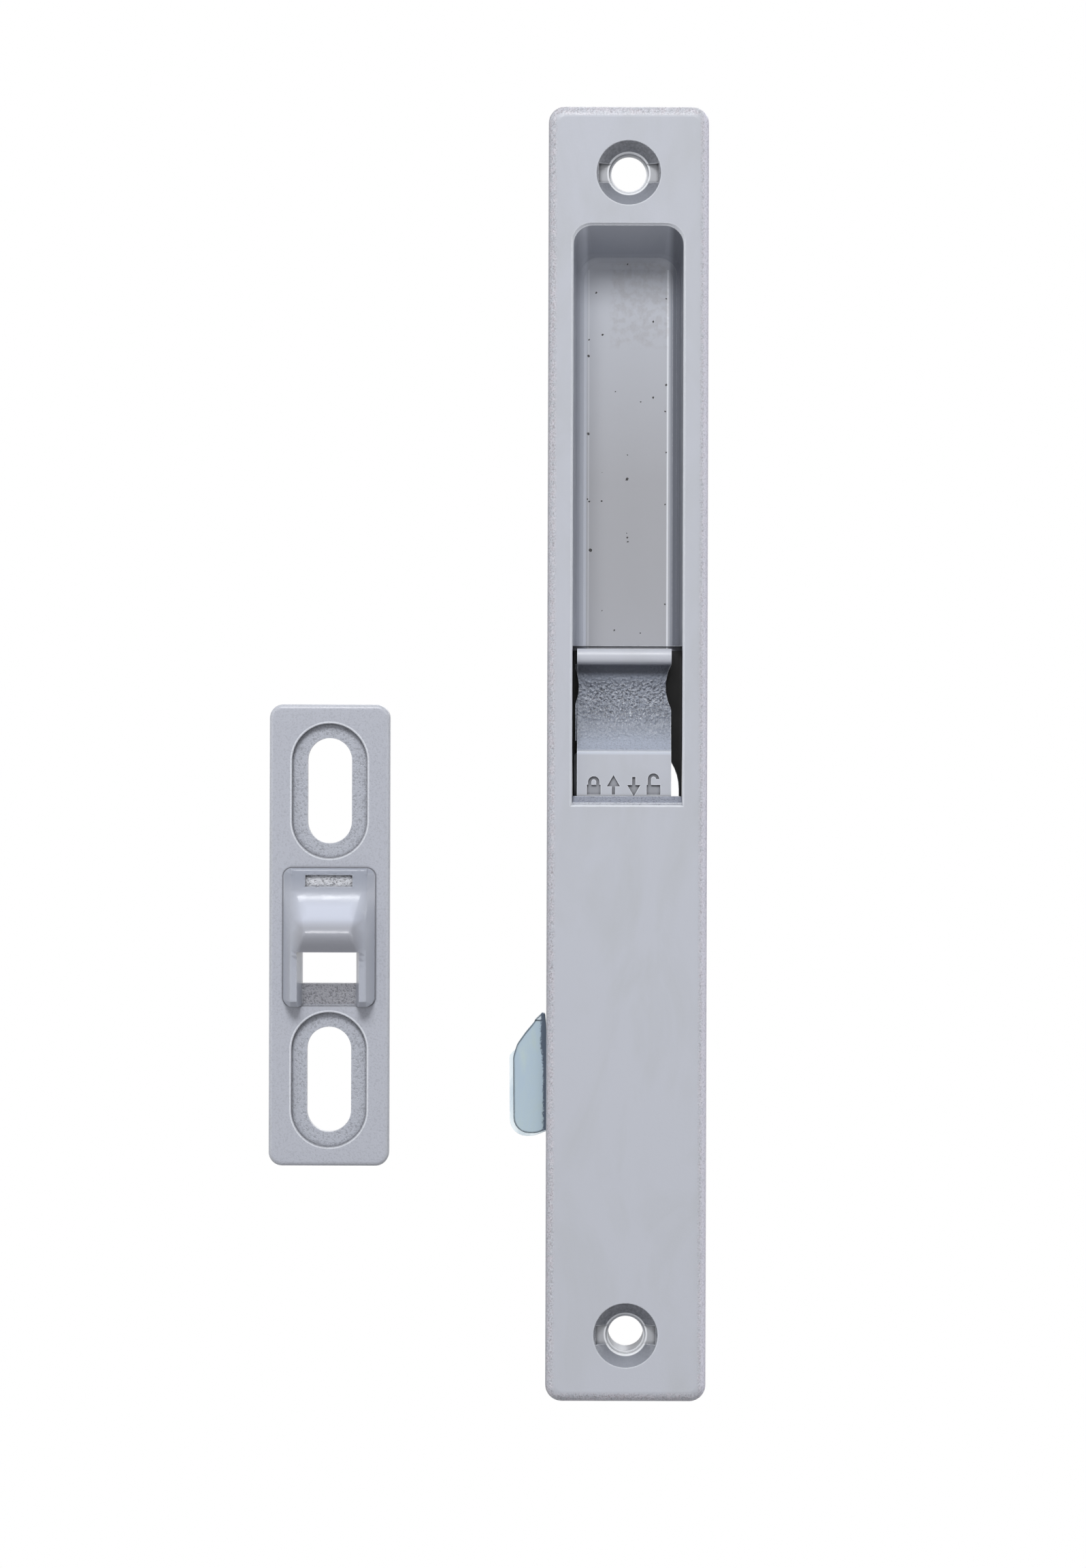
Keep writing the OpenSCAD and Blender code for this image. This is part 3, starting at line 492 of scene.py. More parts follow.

# %% [markdown]
# ## The silver paint
# The castings are sprayed with a silver paint that dries satin. The photograph shows an even, slightly
# blue grey, a little warmer in the stains. Painted shade, painted highlights and dust each go through a
# mask of their place, so the colour is a chain of tints. Every painted casting starts and ends with the
# same two helpers, and only the middle of the recipe is its own; the last one paints shade into pits
# and creases and a highlight along edges.

# %% The paint's recipe
PAINT_GREY = srgb(191, 194, 203)
PAINT_STAIN = srgb(184, 187, 193)
PIT_SHADE = srgb(84, 84, 90)
EDGE_LIGHT = srgb(238, 241, 247)
CREASE_SHADE = srgb(70, 70, 76)
STAIN_SCALE = 0.09
STAIN_AMOUNT = 0.8
SATIN_SCALE = 0.3
CREASE_SHARE = 0.7


def new_material(name):
    material = bpy.data.materials.new(name)
    tree = empty_tree(material)
    out = add_node(tree, "ShaderNodeOutputMaterial")
    shader = add_node(tree, "ShaderNodeBsdfPrincipled")
    tree.links.new(shader.outputs["BSDF"], out.inputs["Surface"])
    return material, tree, shader


def start_paint(name):
    """A new paint material; gives it, its tree, its shader and its stained grey."""
    material, tree, shader = new_material(name)
    stains = use_group(tree, stain_group, Scale=STAIN_SCALE, Amount=STAIN_AMOUNT)["Mask"]
    return material, tree, shader, tint(tree, PAINT_GREY, PAINT_STAIN, stains)


def finish_paint(tree, shader, colour, rough_mask, rough_depth, pit_share, bare_mask=None,
                 satin_range=(0.34, 0.46), edge_share=0.75):
    """Joins colour, roughness and skin; the masks say where the skin is rough or the metal bare."""
    skin = use_group(tree, skin_group, Rough_depth=maths(tree, "MULTIPLY", rough_mask, rough_depth))
    edges_creases = use_group(tree, edge_and_crease_group)
    # Painted shade in the pits, a painted highlight along edges and painted shade in creases.
    colour = tint(tree, colour, PIT_SHADE, skin["Pits"], rough_mask, pit_share)
    colour = tint(tree, colour, EDGE_LIGHT, edges_creases["Edge"], edge_share)
    colour = tint(tree, colour, CREASE_SHADE, edges_creases["Crease"], CREASE_SHARE)
    feed(tree, shader.inputs["Base Color"], colour)
    satin = remap(tree, noise_field(tree, SATIN_SCALE), 0.3, 0.7, *satin_range)
    feed(tree, shader.inputs["Roughness"], satin)
    feed(tree, shader.inputs["Normal"], skin["Normal"])
    if bare_mask is not None:
        feed(tree, shader.inputs["Metallic"], bare_mask)


print("paint grey", [round(v, 3) for v in PAINT_GREY])

# %% [markdown]
# ## The lock body: pull recess
# Shade is painted into the recess, deepest on its right wall. The floor is painted lighter again as
# light, darker towards its lower end, mottled brown with dust near its top and dotted with small dark
# specks. A painted highlight runs where it meets each wall, with painted light on a soft foot on the left.
# Corners of boxes are in millimetres.

# %% Finish of the pull recess
RECESS_SHADE = srgb(176, 180, 190)
WALL_SHADE = srgb(96, 99, 108)
FLOOR_LIGHT = srgb(196, 199, 207)
FLOOR_LOW = srgb(176, 177, 182)
FOOT_LIGHT = srgb(208, 212, 222)
DUST_BROWN = srgb(146, 138, 136)
SPECK_DARK = srgb(62, 60, 62)
RECESS = ((-8.4, -3.0, 13), (8.4, 8.4, 79.5))
RECESS_FLOOR = ((-6.3, 6.8, 13), (6.3, 8.2, 78))
FLOOR_HIGHLIGHT_RIGHT = ((5.7, 5, 13), (6.05, 9, 72))
FLOOR_HIGHLIGHT_LEFT = ((-6.05, 5, 13), (-5.75, 9, 72))
DUSTY_PLACE = ((-3, 6.5, 60), (9, 8.5, 80))
MOTTLE_NOISE = (0.42, 0.6)


def finish_recess(tree, colour):
    """Gives the colour with the recess in it, and the mask of its dust."""
    recess = box_mask(tree, *RECESS, 0.25)
    # Painted shade in the recess, deepest on its right wall.
    colour = tint(tree, colour, RECESS_SHADE, recess)
    colour = tint(tree, colour, WALL_SHADE, recess, gradient(tree, "X", 5.9, 6.8), 0.85)
    floor = masked(tree, box_mask(tree, *RECESS_FLOOR, 0.3), facing_mask(tree, FRONT, 0.7, 0.95))
    # Painted light on the floor and on the soft foot on the left.
    colour = tint(tree, colour, FLOOR_LIGHT, floor)
    colour = tint(tree, colour, FOOT_LIGHT, recess, gradient(tree, "X", -5.9, -6.3),
                  gradient(tree, "X", -7.6, -6.6))
    colour = tint(tree, colour, FLOOR_LOW, floor, gradient(tree, "Z", 66, 40))
    # Painted highlight lines where the floor meets the walls.
    lines = maths(tree, "MAXIMUM", box_mask(tree, *FLOOR_HIGHLIGHT_RIGHT, 0.15),
                  masked(tree, box_mask(tree, *FLOOR_HIGHLIGHT_LEFT, 0.15), 0.5))
    colour = tint(tree, colour, EDGE_LIGHT, recess, lines)
    dusty = masked(tree, floor, box_mask(tree, *DUSTY_PLACE, 5.0),
                   remap(tree, noise_field(tree, 1.1, detail=4.0), *MOTTLE_NOISE))
    colour = tint(tree, colour, DUST_BROWN, dusty)
    small = use_group(tree, speck_group, Pitch=1.9, Size=0.13, Share=0.1)["Mask"]
    large = use_group(tree, speck_group, Pitch=6.1, Size=0.22, Share=0.35)["Mask"]
    return tint(tree, colour, SPECK_DARK, floor, maths(tree, "MAXIMUM", small, large)), dusty


print("recess masked over", RECESS[1][2] - RECESS[0][2], "mm")

# %% [markdown]
# ## The lock body: screw sinks
# The two screw sinks were machined after painting, so they are bare, dark and turned. Light is painted
# onto the cone where it faces up and onto the two flat ears in each, and a highlight onto the ring round
# the bore. A disc mask finds a sink, a box mask ends it at the face, and the facing mask tells the flat
# ears from the cone.

# %% Finish of the screw sinks
MACHINED = srgb(106, 108, 114)
MACHINED_LIGHT = srgb(146, 150, 160)
EAR_LIGHT = srgb(170, 172, 177)
RING_LIGHT = srgb(232, 234, 238)
SCREW_Z = 85.5
SINK_R = 4.86
BORE_RING_R = 3.25
BELOW_FACE = ((-6, -3.15, -100), (6, 6, 100))
ABOVE_BORE = ((-6, -3.15, -100), (6, -0.3, 100))
BARE_SHARE = 0.35


def sink_masks(tree):
    """Mask of both screw sinks, and of the flat ears and the bright ring in them."""
    discs, rings = [maths(tree, "MAXIMUM", disc_mask(tree, 0, SCREW_Z, radius),
                          disc_mask(tree, 0, -SCREW_Z, radius)) for radius in (SINK_R, BORE_RING_R)]
    sinks = masked(tree, discs, box_mask(tree, *BELOW_FACE, 0.05))
    ears = masked(tree, sinks, facing_mask(tree, FRONT, 0.94, 0.98))
    return sinks, ears, masked(tree, rings, box_mask(tree, *ABOVE_BORE, 0.05))


def finish_sinks(tree, colour):
    """Gives the colour with the sinks in it, and the mask of their bare metal."""
    sinks, ears, rings = sink_masks(tree)
    turned = remap(tree, noise_field(tree, 2.5, detail=2.0), 0.3, 0.7, 0.75, 1.0)
    colour = tint(tree, colour, MACHINED, sinks, turned)
    # Painted light where the cone faces up and on the flat ears, and a painted highlight on the ring.
    colour = tint(tree, colour, MACHINED_LIGHT, sinks, facing_mask(tree, UP, 0.05, 0.6), 0.8)
    colour = tint(tree, colour, EAR_LIGHT, ears)
    colour = tint(tree, colour, RING_LIGHT, rings)
    return colour, masked(tree, sinks, inverse(tree, rings), BARE_SHARE)


print("screw sinks", 2 * SCREW_Z, "mm apart")

# %% [markdown]
# ## The lock body: chamber, lip and border
# The chamber behind the thumb slide is painted near black as shade, so that the gaps beside the
# slide look black. The narrow lip under the slide stayed rough as cast, and the recess's rim gets a
# painted highlight. The plate's sloping border is blotched with a warmer grey and gritty, with
# painted glints, a thin line of painted shade at its outline and painted light on its right side.

# %% Finish of chamber, lip and border
CHAMBER_SHADE = srgb(18, 18, 20)
LIP_GREY = srgb(149, 154, 168)
RIM_PINK = srgb(204, 199, 207)
BORDER_GLINT = srgb(216, 216, 222)
GRIT_DARK = srgb(158, 152, 158)
PLATE_OUTLINE_SHADE = srgb(150, 151, 160)
BEVEL_LIGHT = srgb(223, 222, 236)
CHAMBER = ((-8.4, -1.5, -76), (8.4, 9.4, 15.3))
LIP = ((-8.2, -3.05, -8.0), (8.2, -0.8, -6.0))
RECESS_RIM = ((-8.6, -3.4, -9.0), (8.6, -2.75, 78.6))
INNER_FACE = ((-10.9, -4, -94.3), (10.9, 40, 94.3))
GRIT_LIMIT = ((-11.75, -4, -95.2), (11.75, 9, 95.2))
PLATE_EDGE = ((-11.8, -95.3), (11.8, 95.3))
PLATE_CORNER = 2.4


def finish_chamber(tree, colour):
    """Gives the colour with the chamber's painted shade, the lip and the rim's painted highlight, and the
    lip's mask.
    """
    # Near-black painted shade in the chamber.
    colour = tint(tree, colour, CHAMBER_SHADE, box_mask(tree, *CHAMBER, 0.1))
    lip = box_mask(tree, *LIP, 0.15)
    colour = tint(tree, colour, LIP_GREY, lip)
    # A painted highlight on the recess's rim.
    rim = inverse(tree, facing_mask(tree, FRONT, 0.6, 0.97))
    return tint(tree, colour, EDGE_LIGHT, rim, box_mask(tree, *RECESS_RIM, 0.05), 0.5), lip


def finish_border(tree, colour):
    """Gives the colour with the plate's sloping border in it, and the border's mask."""
    border = inverse(tree, box_mask(tree, *INNER_FACE, 0.5))
    blotches = remap(tree, noise_field(tree, 1.1, detail=3.0), *MOTTLE_NOISE)
    colour = tint(tree, colour, RIM_PINK, border, blotches, 0.6)
    grit = noise_field(tree, 4.2, detail=3.0)
    within = box_mask(tree, *GRIT_LIMIT, 0.3)
    # Painted glints on the grit.
    colour = tint(tree, colour, BORDER_GLINT, border, within, remap(tree, grit, 0.54, 0.64), 0.7)
    colour = tint(tree, colour, GRIT_DARK, border, remap(tree, grit, 0.46, 0.36), 0.8)
    # A thin line of painted shade round the plate's edge, and painted light on its right side.
    colour = tint(tree, colour, PLATE_OUTLINE_SHADE, outline_mask(tree, *PLATE_EDGE, PLATE_CORNER, 0.3), 0.45)
    colour = tint(tree, colour, BEVEL_LIGHT, border, gradient(tree, "X", 10.8, 11.4), 0.8)
    return colour, border


def body_paint():
    material, tree, shader, colour = start_paint("lock_body_paint")
    colour, dusty = finish_recess(tree, colour)
    colour, bare = finish_sinks(tree, colour)
    colour, lip = finish_chamber(tree, colour)
    colour, border = finish_border(tree, colour)
    rough = maths(tree, "MAXIMUM", lip, masked(tree, dusty, 0.6))
    rough = maths(tree, "MAXIMUM", rough, masked(tree, border, 0.5))
    finish_paint(tree, shader, colour, rough, 0.16, 0.55, bare)
    return material


lock_body_paint = body_paint()
print("made", lock_body_paint.name)

# %% [markdown]
# ## The thumb slide's finish
# The scoop under the finger ridge is as the mould left it: coarse and pitted below the ridge, and
# smoother towards the flat face. The relief itself is cut into the piece further down; the material
# adds the finest grain and paints the rest: bluish shade over the scoop, a shadow under the ridge,
# glints on the grit, a highlight along its lower edge, and shade in the pits and on the flanks.

# %% Material: thumb slide
SCOOP_SHADE = srgb(168, 175, 190)
SCOOP_COARSE_SHADE = srgb(130, 137, 151)
GRIT_GLINT = srgb(222, 226, 234)
UNDERCUT_SHADOW = srgb(72, 76, 86)
SCOOP_EDGE_HIGHLIGHT = srgb(210, 217, 230)
SCOOP_TOP_Z = 13.1
SCOOP_LOW_Z = 0.45
SCOOP = ((-8, -1.15, SCOOP_LOW_Z), (8, 6, SCOOP_TOP_Z + 0.2))
COARSE_PLACE = ((-8, -4, 3.2), (8, 9, 12.2))
DARK_BAND = ((-8, -2, 1.5), (8, 8, 8.5))
SCOOP_EDGE = ((-8, -1.5, -0.2), (8, -0.85, 0.6))
SLIDE_FLANKS = ((-20, -0.9, -20), (20, 9, 0.2))


def slide_paint():
    material, tree, shader, colour = start_paint("thumb_slide_paint")
    scoop = box_mask(tree, *SCOOP, 0.25)
    # Painted shade over the scoop, a painted shadow under the ridge and deeper painted shade in its middle.
    colour = tint(tree, colour, SCOOP_SHADE, scoop)
    colour = tint(tree, colour, UNDERCUT_SHADOW, scoop, gradient(tree, "Z", 11.2, 12.0), 0.95)
    colour = tint(tree, colour, SCOOP_COARSE_SHADE, scoop, box_mask(tree, *DARK_BAND, 2.2))
    # A painted highlight along the scoop's lower edge.
    colour = tint(tree, colour, SCOOP_EDGE_HIGHLIGHT, box_mask(tree, *SCOOP_EDGE, 0.4))
    coarse = masked(tree, scoop, box_mask(tree, *COARSE_PLACE, 3.0))
    # Painted glints on the coarse grit.
    glints = remap(tree, noise_field(tree, 3.4, detail=2.0), 0.6, 0.66)
    colour = tint(tree, colour, GRIT_GLINT, coarse, glints, 0.8)
    # Painted shade on the flanks, so that the gaps beside the slide look black.
    colour = tint(tree, colour, CHAMBER_SHADE, box_mask(tree, *SLIDE_FLANKS, 0.1))
    rough = maths(tree, "MAXIMUM", coarse, masked(tree, scoop, 0.35))
    finish_paint(tree, shader, colour, rough, 0.2, 0.85)
    return material


thumb_slide_paint = slide_paint()
print("made", thumb_slide_paint.name)

# %% [markdown]
# ## The keeper's finish
# The keeper is the same casting and paint, and painted shade darkens its front faces. Its slot ledges,
# the pocket at the head of the hood and the ledge under the mouth were never smoothed, so they sparkle.
# The hood gets painted shade at its top, painted light on its ramp and a thin line of painted shade at
# its foot; a line of painted shade and one of painted highlight run round each slot. Everything lies
# evenly about the keeper's middle, so a place is a half width, a range in Y and a range in Z, in
# millimetres.

# %% Material: keeper
KEEPER_FRONT_SHADE = srgb(183, 186, 196)
LEDGE_GREY = srgb(180, 184, 194)
HOOD_GREY = srgb(174, 178, 189)
HOOD_SHADE = srgb(152, 157, 170)
RAMP_LIGHT = srgb(200, 205, 219)
CREST_GREY = srgb(160, 162, 171)
MOUTH_GREY = srgb(152, 153, 160)
POCKET_LIGHT = srgb(210, 212, 218)
LINE_SHADE = srgb(88, 90, 98)
KEEPER_X = (keeper_low.x + keeper_high.x) / 2 / MM
SLOT_Z = (-5.55, -48.05)
LEDGE_HALF_W = 5.5
LEDGE_HALF_L = 9.9
LIGHT_LINE_OUT = 0.22
SLOTS = (5.7, (-2.3, -0.4), (-62, 8))
HOOD = (6.9, (-9.5, -2.65), (-37.3, -16.8))
HOOD_ROOM = (6.9, (-9, 1), (-37.5, -16.6))
RAMP = (5.4, (-12, 0), (-26.2, -20.2))
CREST = (5.2, (-12, 0), (-30.2, -24.3))
POCKET = (3.6, (-3.6, -2.4), (-19.6, -17.6))
MOUTH_LEDGE = (3.95, (-7.5, -1.0), (-37.0, -33.4))


def keeper_mask(tree, half_width, y_range, z_range, soft):
    low, high = zip((KEEPER_X - half_width, KEEPER_X + half_width), y_range, z_range)
    return box_mask(tree, low, high, soft)


def keeper_outline(tree, half_width, z_range, corner, width):
    low, high = zip((KEEPER_X - half_width, KEEPER_X + half_width), z_range)
    return outline_mask(tree, low, high, corner, width)


def line_slots(tree, colour, front):
    """Paints a line of shade round each slot's ledge and a highlight just outside it."""
    for z in SLOT_Z:
        for out, width, wanted in ((0, 0.1, LINE_SHADE), (LIGHT_LINE_OUT, 0.12, EDGE_LIGHT)):
            half_w, half_l = LEDGE_HALF_W + out, LEDGE_HALF_L + out
            line = keeper_outline(tree, half_w, (z - half_l, z + half_l), half_w, width)
            colour = tint(tree, colour, wanted, front, line, 0.6)
    return colour


def finish_hood(tree, colour, front):
    hood = keeper_mask(tree, *HOOD, 0.1)
    colour = tint(tree, colour, HOOD_GREY, hood)
    # Painted shade at the top of the hood, and painted light on its ramp.
    colour = tint(tree, colour, HOOD_SHADE, hood, gradient(tree, "Z", -20.6, -18.4), 0.8)
    colour = tint(tree, colour, RAMP_LIGHT, keeper_mask(tree, *RAMP, 2.4))
    colour = tint(tree, colour, CREST_GREY, keeper_mask(tree, *CREST, 1.2))
    # A thin line of painted shade at the hood's foot.
    foot_line = keeper_outline(tree, 6.85, (-37.25, -16.85), 1.3, 0.1)
    return tint(tree, colour, LINE_SHADE, front, foot_line, 0.75)


def keeper_paint():
    material, tree, shader, colour = start_paint("keeper_paint")
    faces_front = facing_mask(tree, FRONT, 0.9, 0.98)
    front = gradient(tree, "Y", -1.2, -1.6)
    # Painted shade darkens the front faces.
    colour = tint(tree, colour, KEEPER_FRONT_SHADE, faces_front)
    colour = line_slots(tree, colour, front)
    colour = finish_hood(tree, colour, front)
    slots = masked(tree, keeper_mask(tree, *SLOTS, 0.1), faces_front, 0.55)
    pocket = keeper_mask(tree, *POCKET, 0.15)
    ledge = keeper_mask(tree, *MOUTH_LEDGE, 0.1)
    colour = tint(tree, colour, LEDGE_GREY, slots)
    colour = tint(tree, colour, POCKET_LIGHT, pocket)
    colour = tint(tree, colour, MOUTH_GREY, ledge)
    rough = maths(tree, "MAXIMUM", slots, maths(tree, "MAXIMUM", pocket, ledge))
    plate = inverse(tree, keeper_mask(tree, *HOOD_ROOM, 0.2))
    rough = maths(tree, "MAXIMUM", rough, masked(tree, plate, 0.22))
    finish_paint(tree, shader, colour, rough, 0.18, 0.7, satin_range=(0.28, 0.36), edge_share=0.3)
    return material


keeper_cast_paint = keeper_paint()
print("made", keeper_cast_paint.name)

# %% [markdown]
# ## Plated steel
# The hook is steel with a clear blue zinc plating, mottled a little green. The rear plate shows only
# its edge, whose lit brightness is painted into its near-white colour. Rivets, pins and the back cover
# have a plainer plating, the spring is dark spring steel, and the bar behind the slide is painted dark
# as the shade it lies in. One recipe does for all of them, with its own two colours, roughness and depth
# of grain.

# %% Materials: plated steel
ZINC_GREEN = srgb(172, 187, 190)
STEEL_RECIPES = {
    # Painted light: the rear plate's edge is coloured as bright as it looks when lit.
    "hook_rear_lit_zinc": (srgb(238, 246, 250), srgb(212, 224, 232), 0.3, 0.42, 0.01),
    "blue_zinc": (srgb(176, 194, 208), ZINC_GREEN, 0.34, 0.5, 0.01),
    "plain_plating": (srgb(190, 190, 190), srgb(177, 176, 173), 0.3, 0.45, 0.006),
    "spring_steel": (srgb(120, 122, 126), srgb(96, 92, 88), 0.3, 0.5, 0.006),
    # Painted shade: the bar is coloured as dark as the shade behind the slide.
    "shaded_bar_steel": (srgb(74, 76, 80), srgb(54, 54, 54), 0.3, 0.5, 0.006),
}


def plated_steel(name, colour, stain, rough_low, rough_high, grain_depth):
    material, tree, shader = new_material(name)
    stains = use_group(tree, stain_group, Scale=0.35, Amount=0.9)["Mask"]
    mixed = tint(tree, colour, stain, stains)
    feed(tree, shader.inputs["Base Color"], mixed)
    feed(tree, shader.inputs["Roughness"], remap(tree, stains, 0.0, 1.0, rough_low, rough_high))
    shader.inputs["Metallic"].default_value = 1.0
    skin = use_group(tree, skin_group, Grain=1.8, Grain_depth=grain_depth, Edge_radius=0.1)
    feed(tree, shader.inputs["Normal"], skin["Normal"])
    return material, tree, shader, mixed


steels = {name: plated_steel(name, *recipe)[0] for name, recipe in STEEL_RECIPES.items()}
print("made", list(steels))

# %% [markdown]
# ## The hook's front plate
# The front plate starts from the same plating. Shade is painted in a ragged band beside the case, in a
# thin line round its outline and under the tip, and light is painted on the cap at the tip. A straight
# mask would look ruled, so a noise is added to the place before the band is cut off.

# %% Material: the hook's front plate
HOOK_ZINC = srgb(170, 187, 201)
EDGE_BAND_SHADE = srgb(92, 102, 116)
OUTLINE_SHADE = srgb(52, 58, 66)
CAP_LIGHT = srgb(214, 224, 232)
CAP_LINE = ((-20, 0, -39.75), (0, 9, -39.45))
RAGGED = 0.8
BAND_X = (-12.42, -12.15)
BAND_LEAN_Z = (-46.5, -43.0)
BAND_LEAN = -0.35


def hook_front_finish():
    material, tree, shader, colour = plated_steel("hook_front_zinc", HOOK_ZINC, ZINC_GREEN, 0.36, 0.5, 0.01)
    # Painted light on the cap of the tip, and a line of painted shade under it.
    colour = tint(tree, colour, CAP_LIGHT, gradient(tree, "Z", -39.6, -39.4), 0.8)
    colour = tint(tree, colour, OUTLINE_SHADE, box_mask(tree, *CAP_LINE, 0.08), 0.8)
    # A line of painted shade round the outline.
    outline = remap(tree, use_group(tree, edge_and_crease_group, Edge_radius=0.5)["Edge"], 0.1, 0.4)
    colour = tint(tree, colour, OUTLINE_SHADE, outline, 0.95)
    # A ragged band of painted shade beside the case.
    place = split_axes(tree, place_in_mm(tree))
    ragged = maths(tree, "MULTIPLY", noise_field(tree, 3.2, detail=5.0), RAGGED)
    edge = maths(tree, "ADD", place["X"], ragged)
    lean = remap(tree, place["Z"], *BAND_LEAN_Z, BAND_LEAN, 0.0)
    colour = tint(tree, colour, EDGE_BAND_SHADE, remap(tree, maths(tree, "ADD", edge, lean), *BAND_X))
    feed(tree, shader.inputs["Base Color"], colour)
    return material


hook_front_zinc = hook_front_finish()
print("made", hook_front_zinc.name)

# %% [markdown]
# ## A finish for every node
# The imported record names a material for each node. Three of these names cover the small steel pieces.
# The castings, the two hook plates and the bar, painted dark as shade, have a finish of their own.

# %% Give every CAD node its finish
FINISHES = {
    "zinc_plate": steels["blue_zinc"],
    "plain_steel": steels["plain_plating"],
    "spring_steel": steels["spring_steel"],
}
OWN_FINISHES = {
    "lock_body": lock_body_paint,
    "thumb_slide": thumb_slide_paint,
    "keeper": keeper_cast_paint,
    "hook_front_plate": hook_front_zinc,
    "hook_rear_plate": steels["hook_rear_lit_zinc"],
    "slide_bar": steels["shaded_bar_steel"],
}

for entry in frame["record"]["subparts"]:
    node = frame["nodes"][entry["node"]]
    node.data.materials.clear()
    node.data.materials.append(OWN_FINISHES.get(entry["node"]) or FINISHES[entry["material_slot"]])

# %% [markdown]
# ## Working on a copy of a casting
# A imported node's mesh stays as it is, so a casting that needs more relief is copied, merged and worked
# on as a piece of its own that replaces the node. Edges that turn by more than a set angle stay sharp.

# %% Helpers for castings
MERGE_DISTANCE = 0.001 * MM
FLAT_ANGLE = math.radians(0.2)
SHARP_ANGLE = math.radians(40)


def cad_copy(name):
    """A merged copy of a CAD node's mesh, whose own triangles are loose and carry set normals."""
    mesh = frame["nodes"][name].data.copy()
    if "custom_normal" in mesh.attributes:
        mesh.attributes.remove(mesh.attributes["custom_normal"])
    bm = bmesh.new()
    bm.from_mesh(mesh)
    bpy.data.meshes.remove(mesh)
    bmesh.ops.remove_doubles(bm, verts=bm.verts, dist=MERGE_DISTANCE)
    bmesh.ops.dissolve_limit(bm, angle_limit=FLAT_ANGLE, verts=bm.verts, edges=bm.edges)
    return bm


def add_piece(name, bm):
    """An object in the scene, at the origin, from a bmesh that is then freed."""
    mesh = bpy.data.meshes.new(name)
    bm.to_mesh(mesh)
    bm.free()
    piece = bpy.data.objects.new(name, mesh)
    bpy.context.scene.collection.objects.link(piece)
    return piece


def finish_casting(bm, name, node, body, material):
    """Turns the worked copy into a smooth piece with sharp edges, which stands for its CAD node."""
    bmesh.ops.triangulate(bm, faces=[face for face in bm.faces if len(face.verts) > 4])
    piece = add_piece(name, bm)
    piece.data.set_sharp_from_angle(angle=SHARP_ANGLE)
    piece.data.materials.append(material)
    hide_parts(node)
    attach(piece, body)
    print(name, "has", len(piece.data.polygons), "faces")


# %% [markdown]
# ## Cast relief
# A cast skin needs a fine, even mesh before it can be displaced. Subdividing the long triangles of a
# CAD mesh would give slivers, so the faces in one place are halved along an axis again and again.
# That keeps the cuts regular and leaves the rest of the piece alone. Three noises of growing fineness
# then give the height of the grit, and the rim of the patch stays where it was.

# %% Helpers for cast relief
CUT_DISTANCE = 0.0001 * MM
OCTAVES = ((1.0, 1.0), (2.3, 0.55), (4.9, 0.3))


def slice_faces(bm, faces, axis, low, high, pitch):
    """Halves faces along an axis until the slices are no wider than the pitch; gives all of them."""
    if high - low <= pitch or not faces:
        return faces
    middle = (low + high) / 2
    point, normal = Vector(), Vector()
    point[axis], normal[axis] = middle, 1.0
    edges = {edge for face in faces for edge in face.edges}
    verts = {vert for face in faces for vert in face.verts}
    cut = bmesh.ops.bisect_plane(bm, geom=[*verts, *edges, *faces], dist=CUT_DISTANCE,
                                 plane_co=point, plane_no=normal)
    pieces = [item for item in cut["geom"] if isinstance(item, bmesh.types.BMFace)]
    halves = ([], [])
    for face in pieces:
        halves[face.calc_center_bounds()[axis] > middle].append(face)
    return (slice_faces(bm, halves[0], axis, low, middle, pitch)
            + slice_faces(bm, halves[1], axis, middle, high, pitch))


def fine_faces(bm, low, high, pitch, facing=-0.1):
    """Cuts the front faces between two corners, in millimetres, into a fine grid along X and Z."""
    corner_low, corner_high = Vector(low) * MM, Vector(high) * MM

    def inside(face):
        centre = face.calc_center_bounds()
        return face.normal.y < facing and all(a <= c <= b for a, c, b in zip(corner_low, centre, corner_high))

    faces = [face for face in bm.faces if inside(face)]
    for axis in (0, 2):
        faces = slice_faces(bm, faces, axis, corner_low[axis], corner_high[axis], pitch * MM)
    return faces


def inner_verts(faces):
    """The vertices that lie inside a patch of faces, without its rim."""
    patch = set(faces)
    return [vert for vert in {v for face in faces for v in face.verts}
            if all(face in patch for face in vert.link_faces)]


def cast_relief(point, fineness, depth):
    """Height of the rough skin at a point, in metres; the same on every run."""
    spot = point / MM * fineness
    grit = sum(share * noise.noise(spot * finer) for finer, share in OCTAVES)
    return grit * depth * MM


def roughen(bm, verts, fineness, depth_at):
    """Moves vertices along their normals by the cast relief; depth_at(point) is in millimetres."""
    bm.normal_update()
    moves = [(vert, vert.normal * cast_relief(vert.co, fineness, depth_at(vert.co / MM)))
             for vert in verts]
    for vert, move in moves:
        vert.co += move


# %% [markdown]
# ## The signs
# A thumb slide says which way it locks. This one has signs that anyone can read, cut into its flat
# face: a closed padlock, an arrow up, an arrow down and an open padlock. Each is made of simple
# blocks with a half ring spun about one point, or with a three-sided head. One Boolean then cuts the
# whole row, which leaves cleaner walls than pressing the signs into a fine mesh would.

# %% Cutter for the signs
SIGN_Y = -1.2
SIGN_Z = -4.7
SIGN_DEPTH = 0.34
SIGN_STROKE = 0.46
SIGN_ROW = {"closed": -4.9, "up": -2.0, "down": 1.0, "open": 3.9}
PADLOCK_SIZE = (2.0, 1.45)
SHACKLE_R = 0.6
LEG_H = 0.6
OPEN_LIFT = 0.45
ARROW_R = 1.1
RING_STEPS = 12


def add_block(bm, x, z, wide, high):
    block = bmesh.ops.create_cube(bm, size=MM)["verts"]
    bmesh.ops.scale(bm, vec=(wide, 2 * SIGN_DEPTH, high), verts=block)
    bmesh.ops.translate(bm, vec=Vector((x, SIGN_Y, z)) * MM, verts=block)


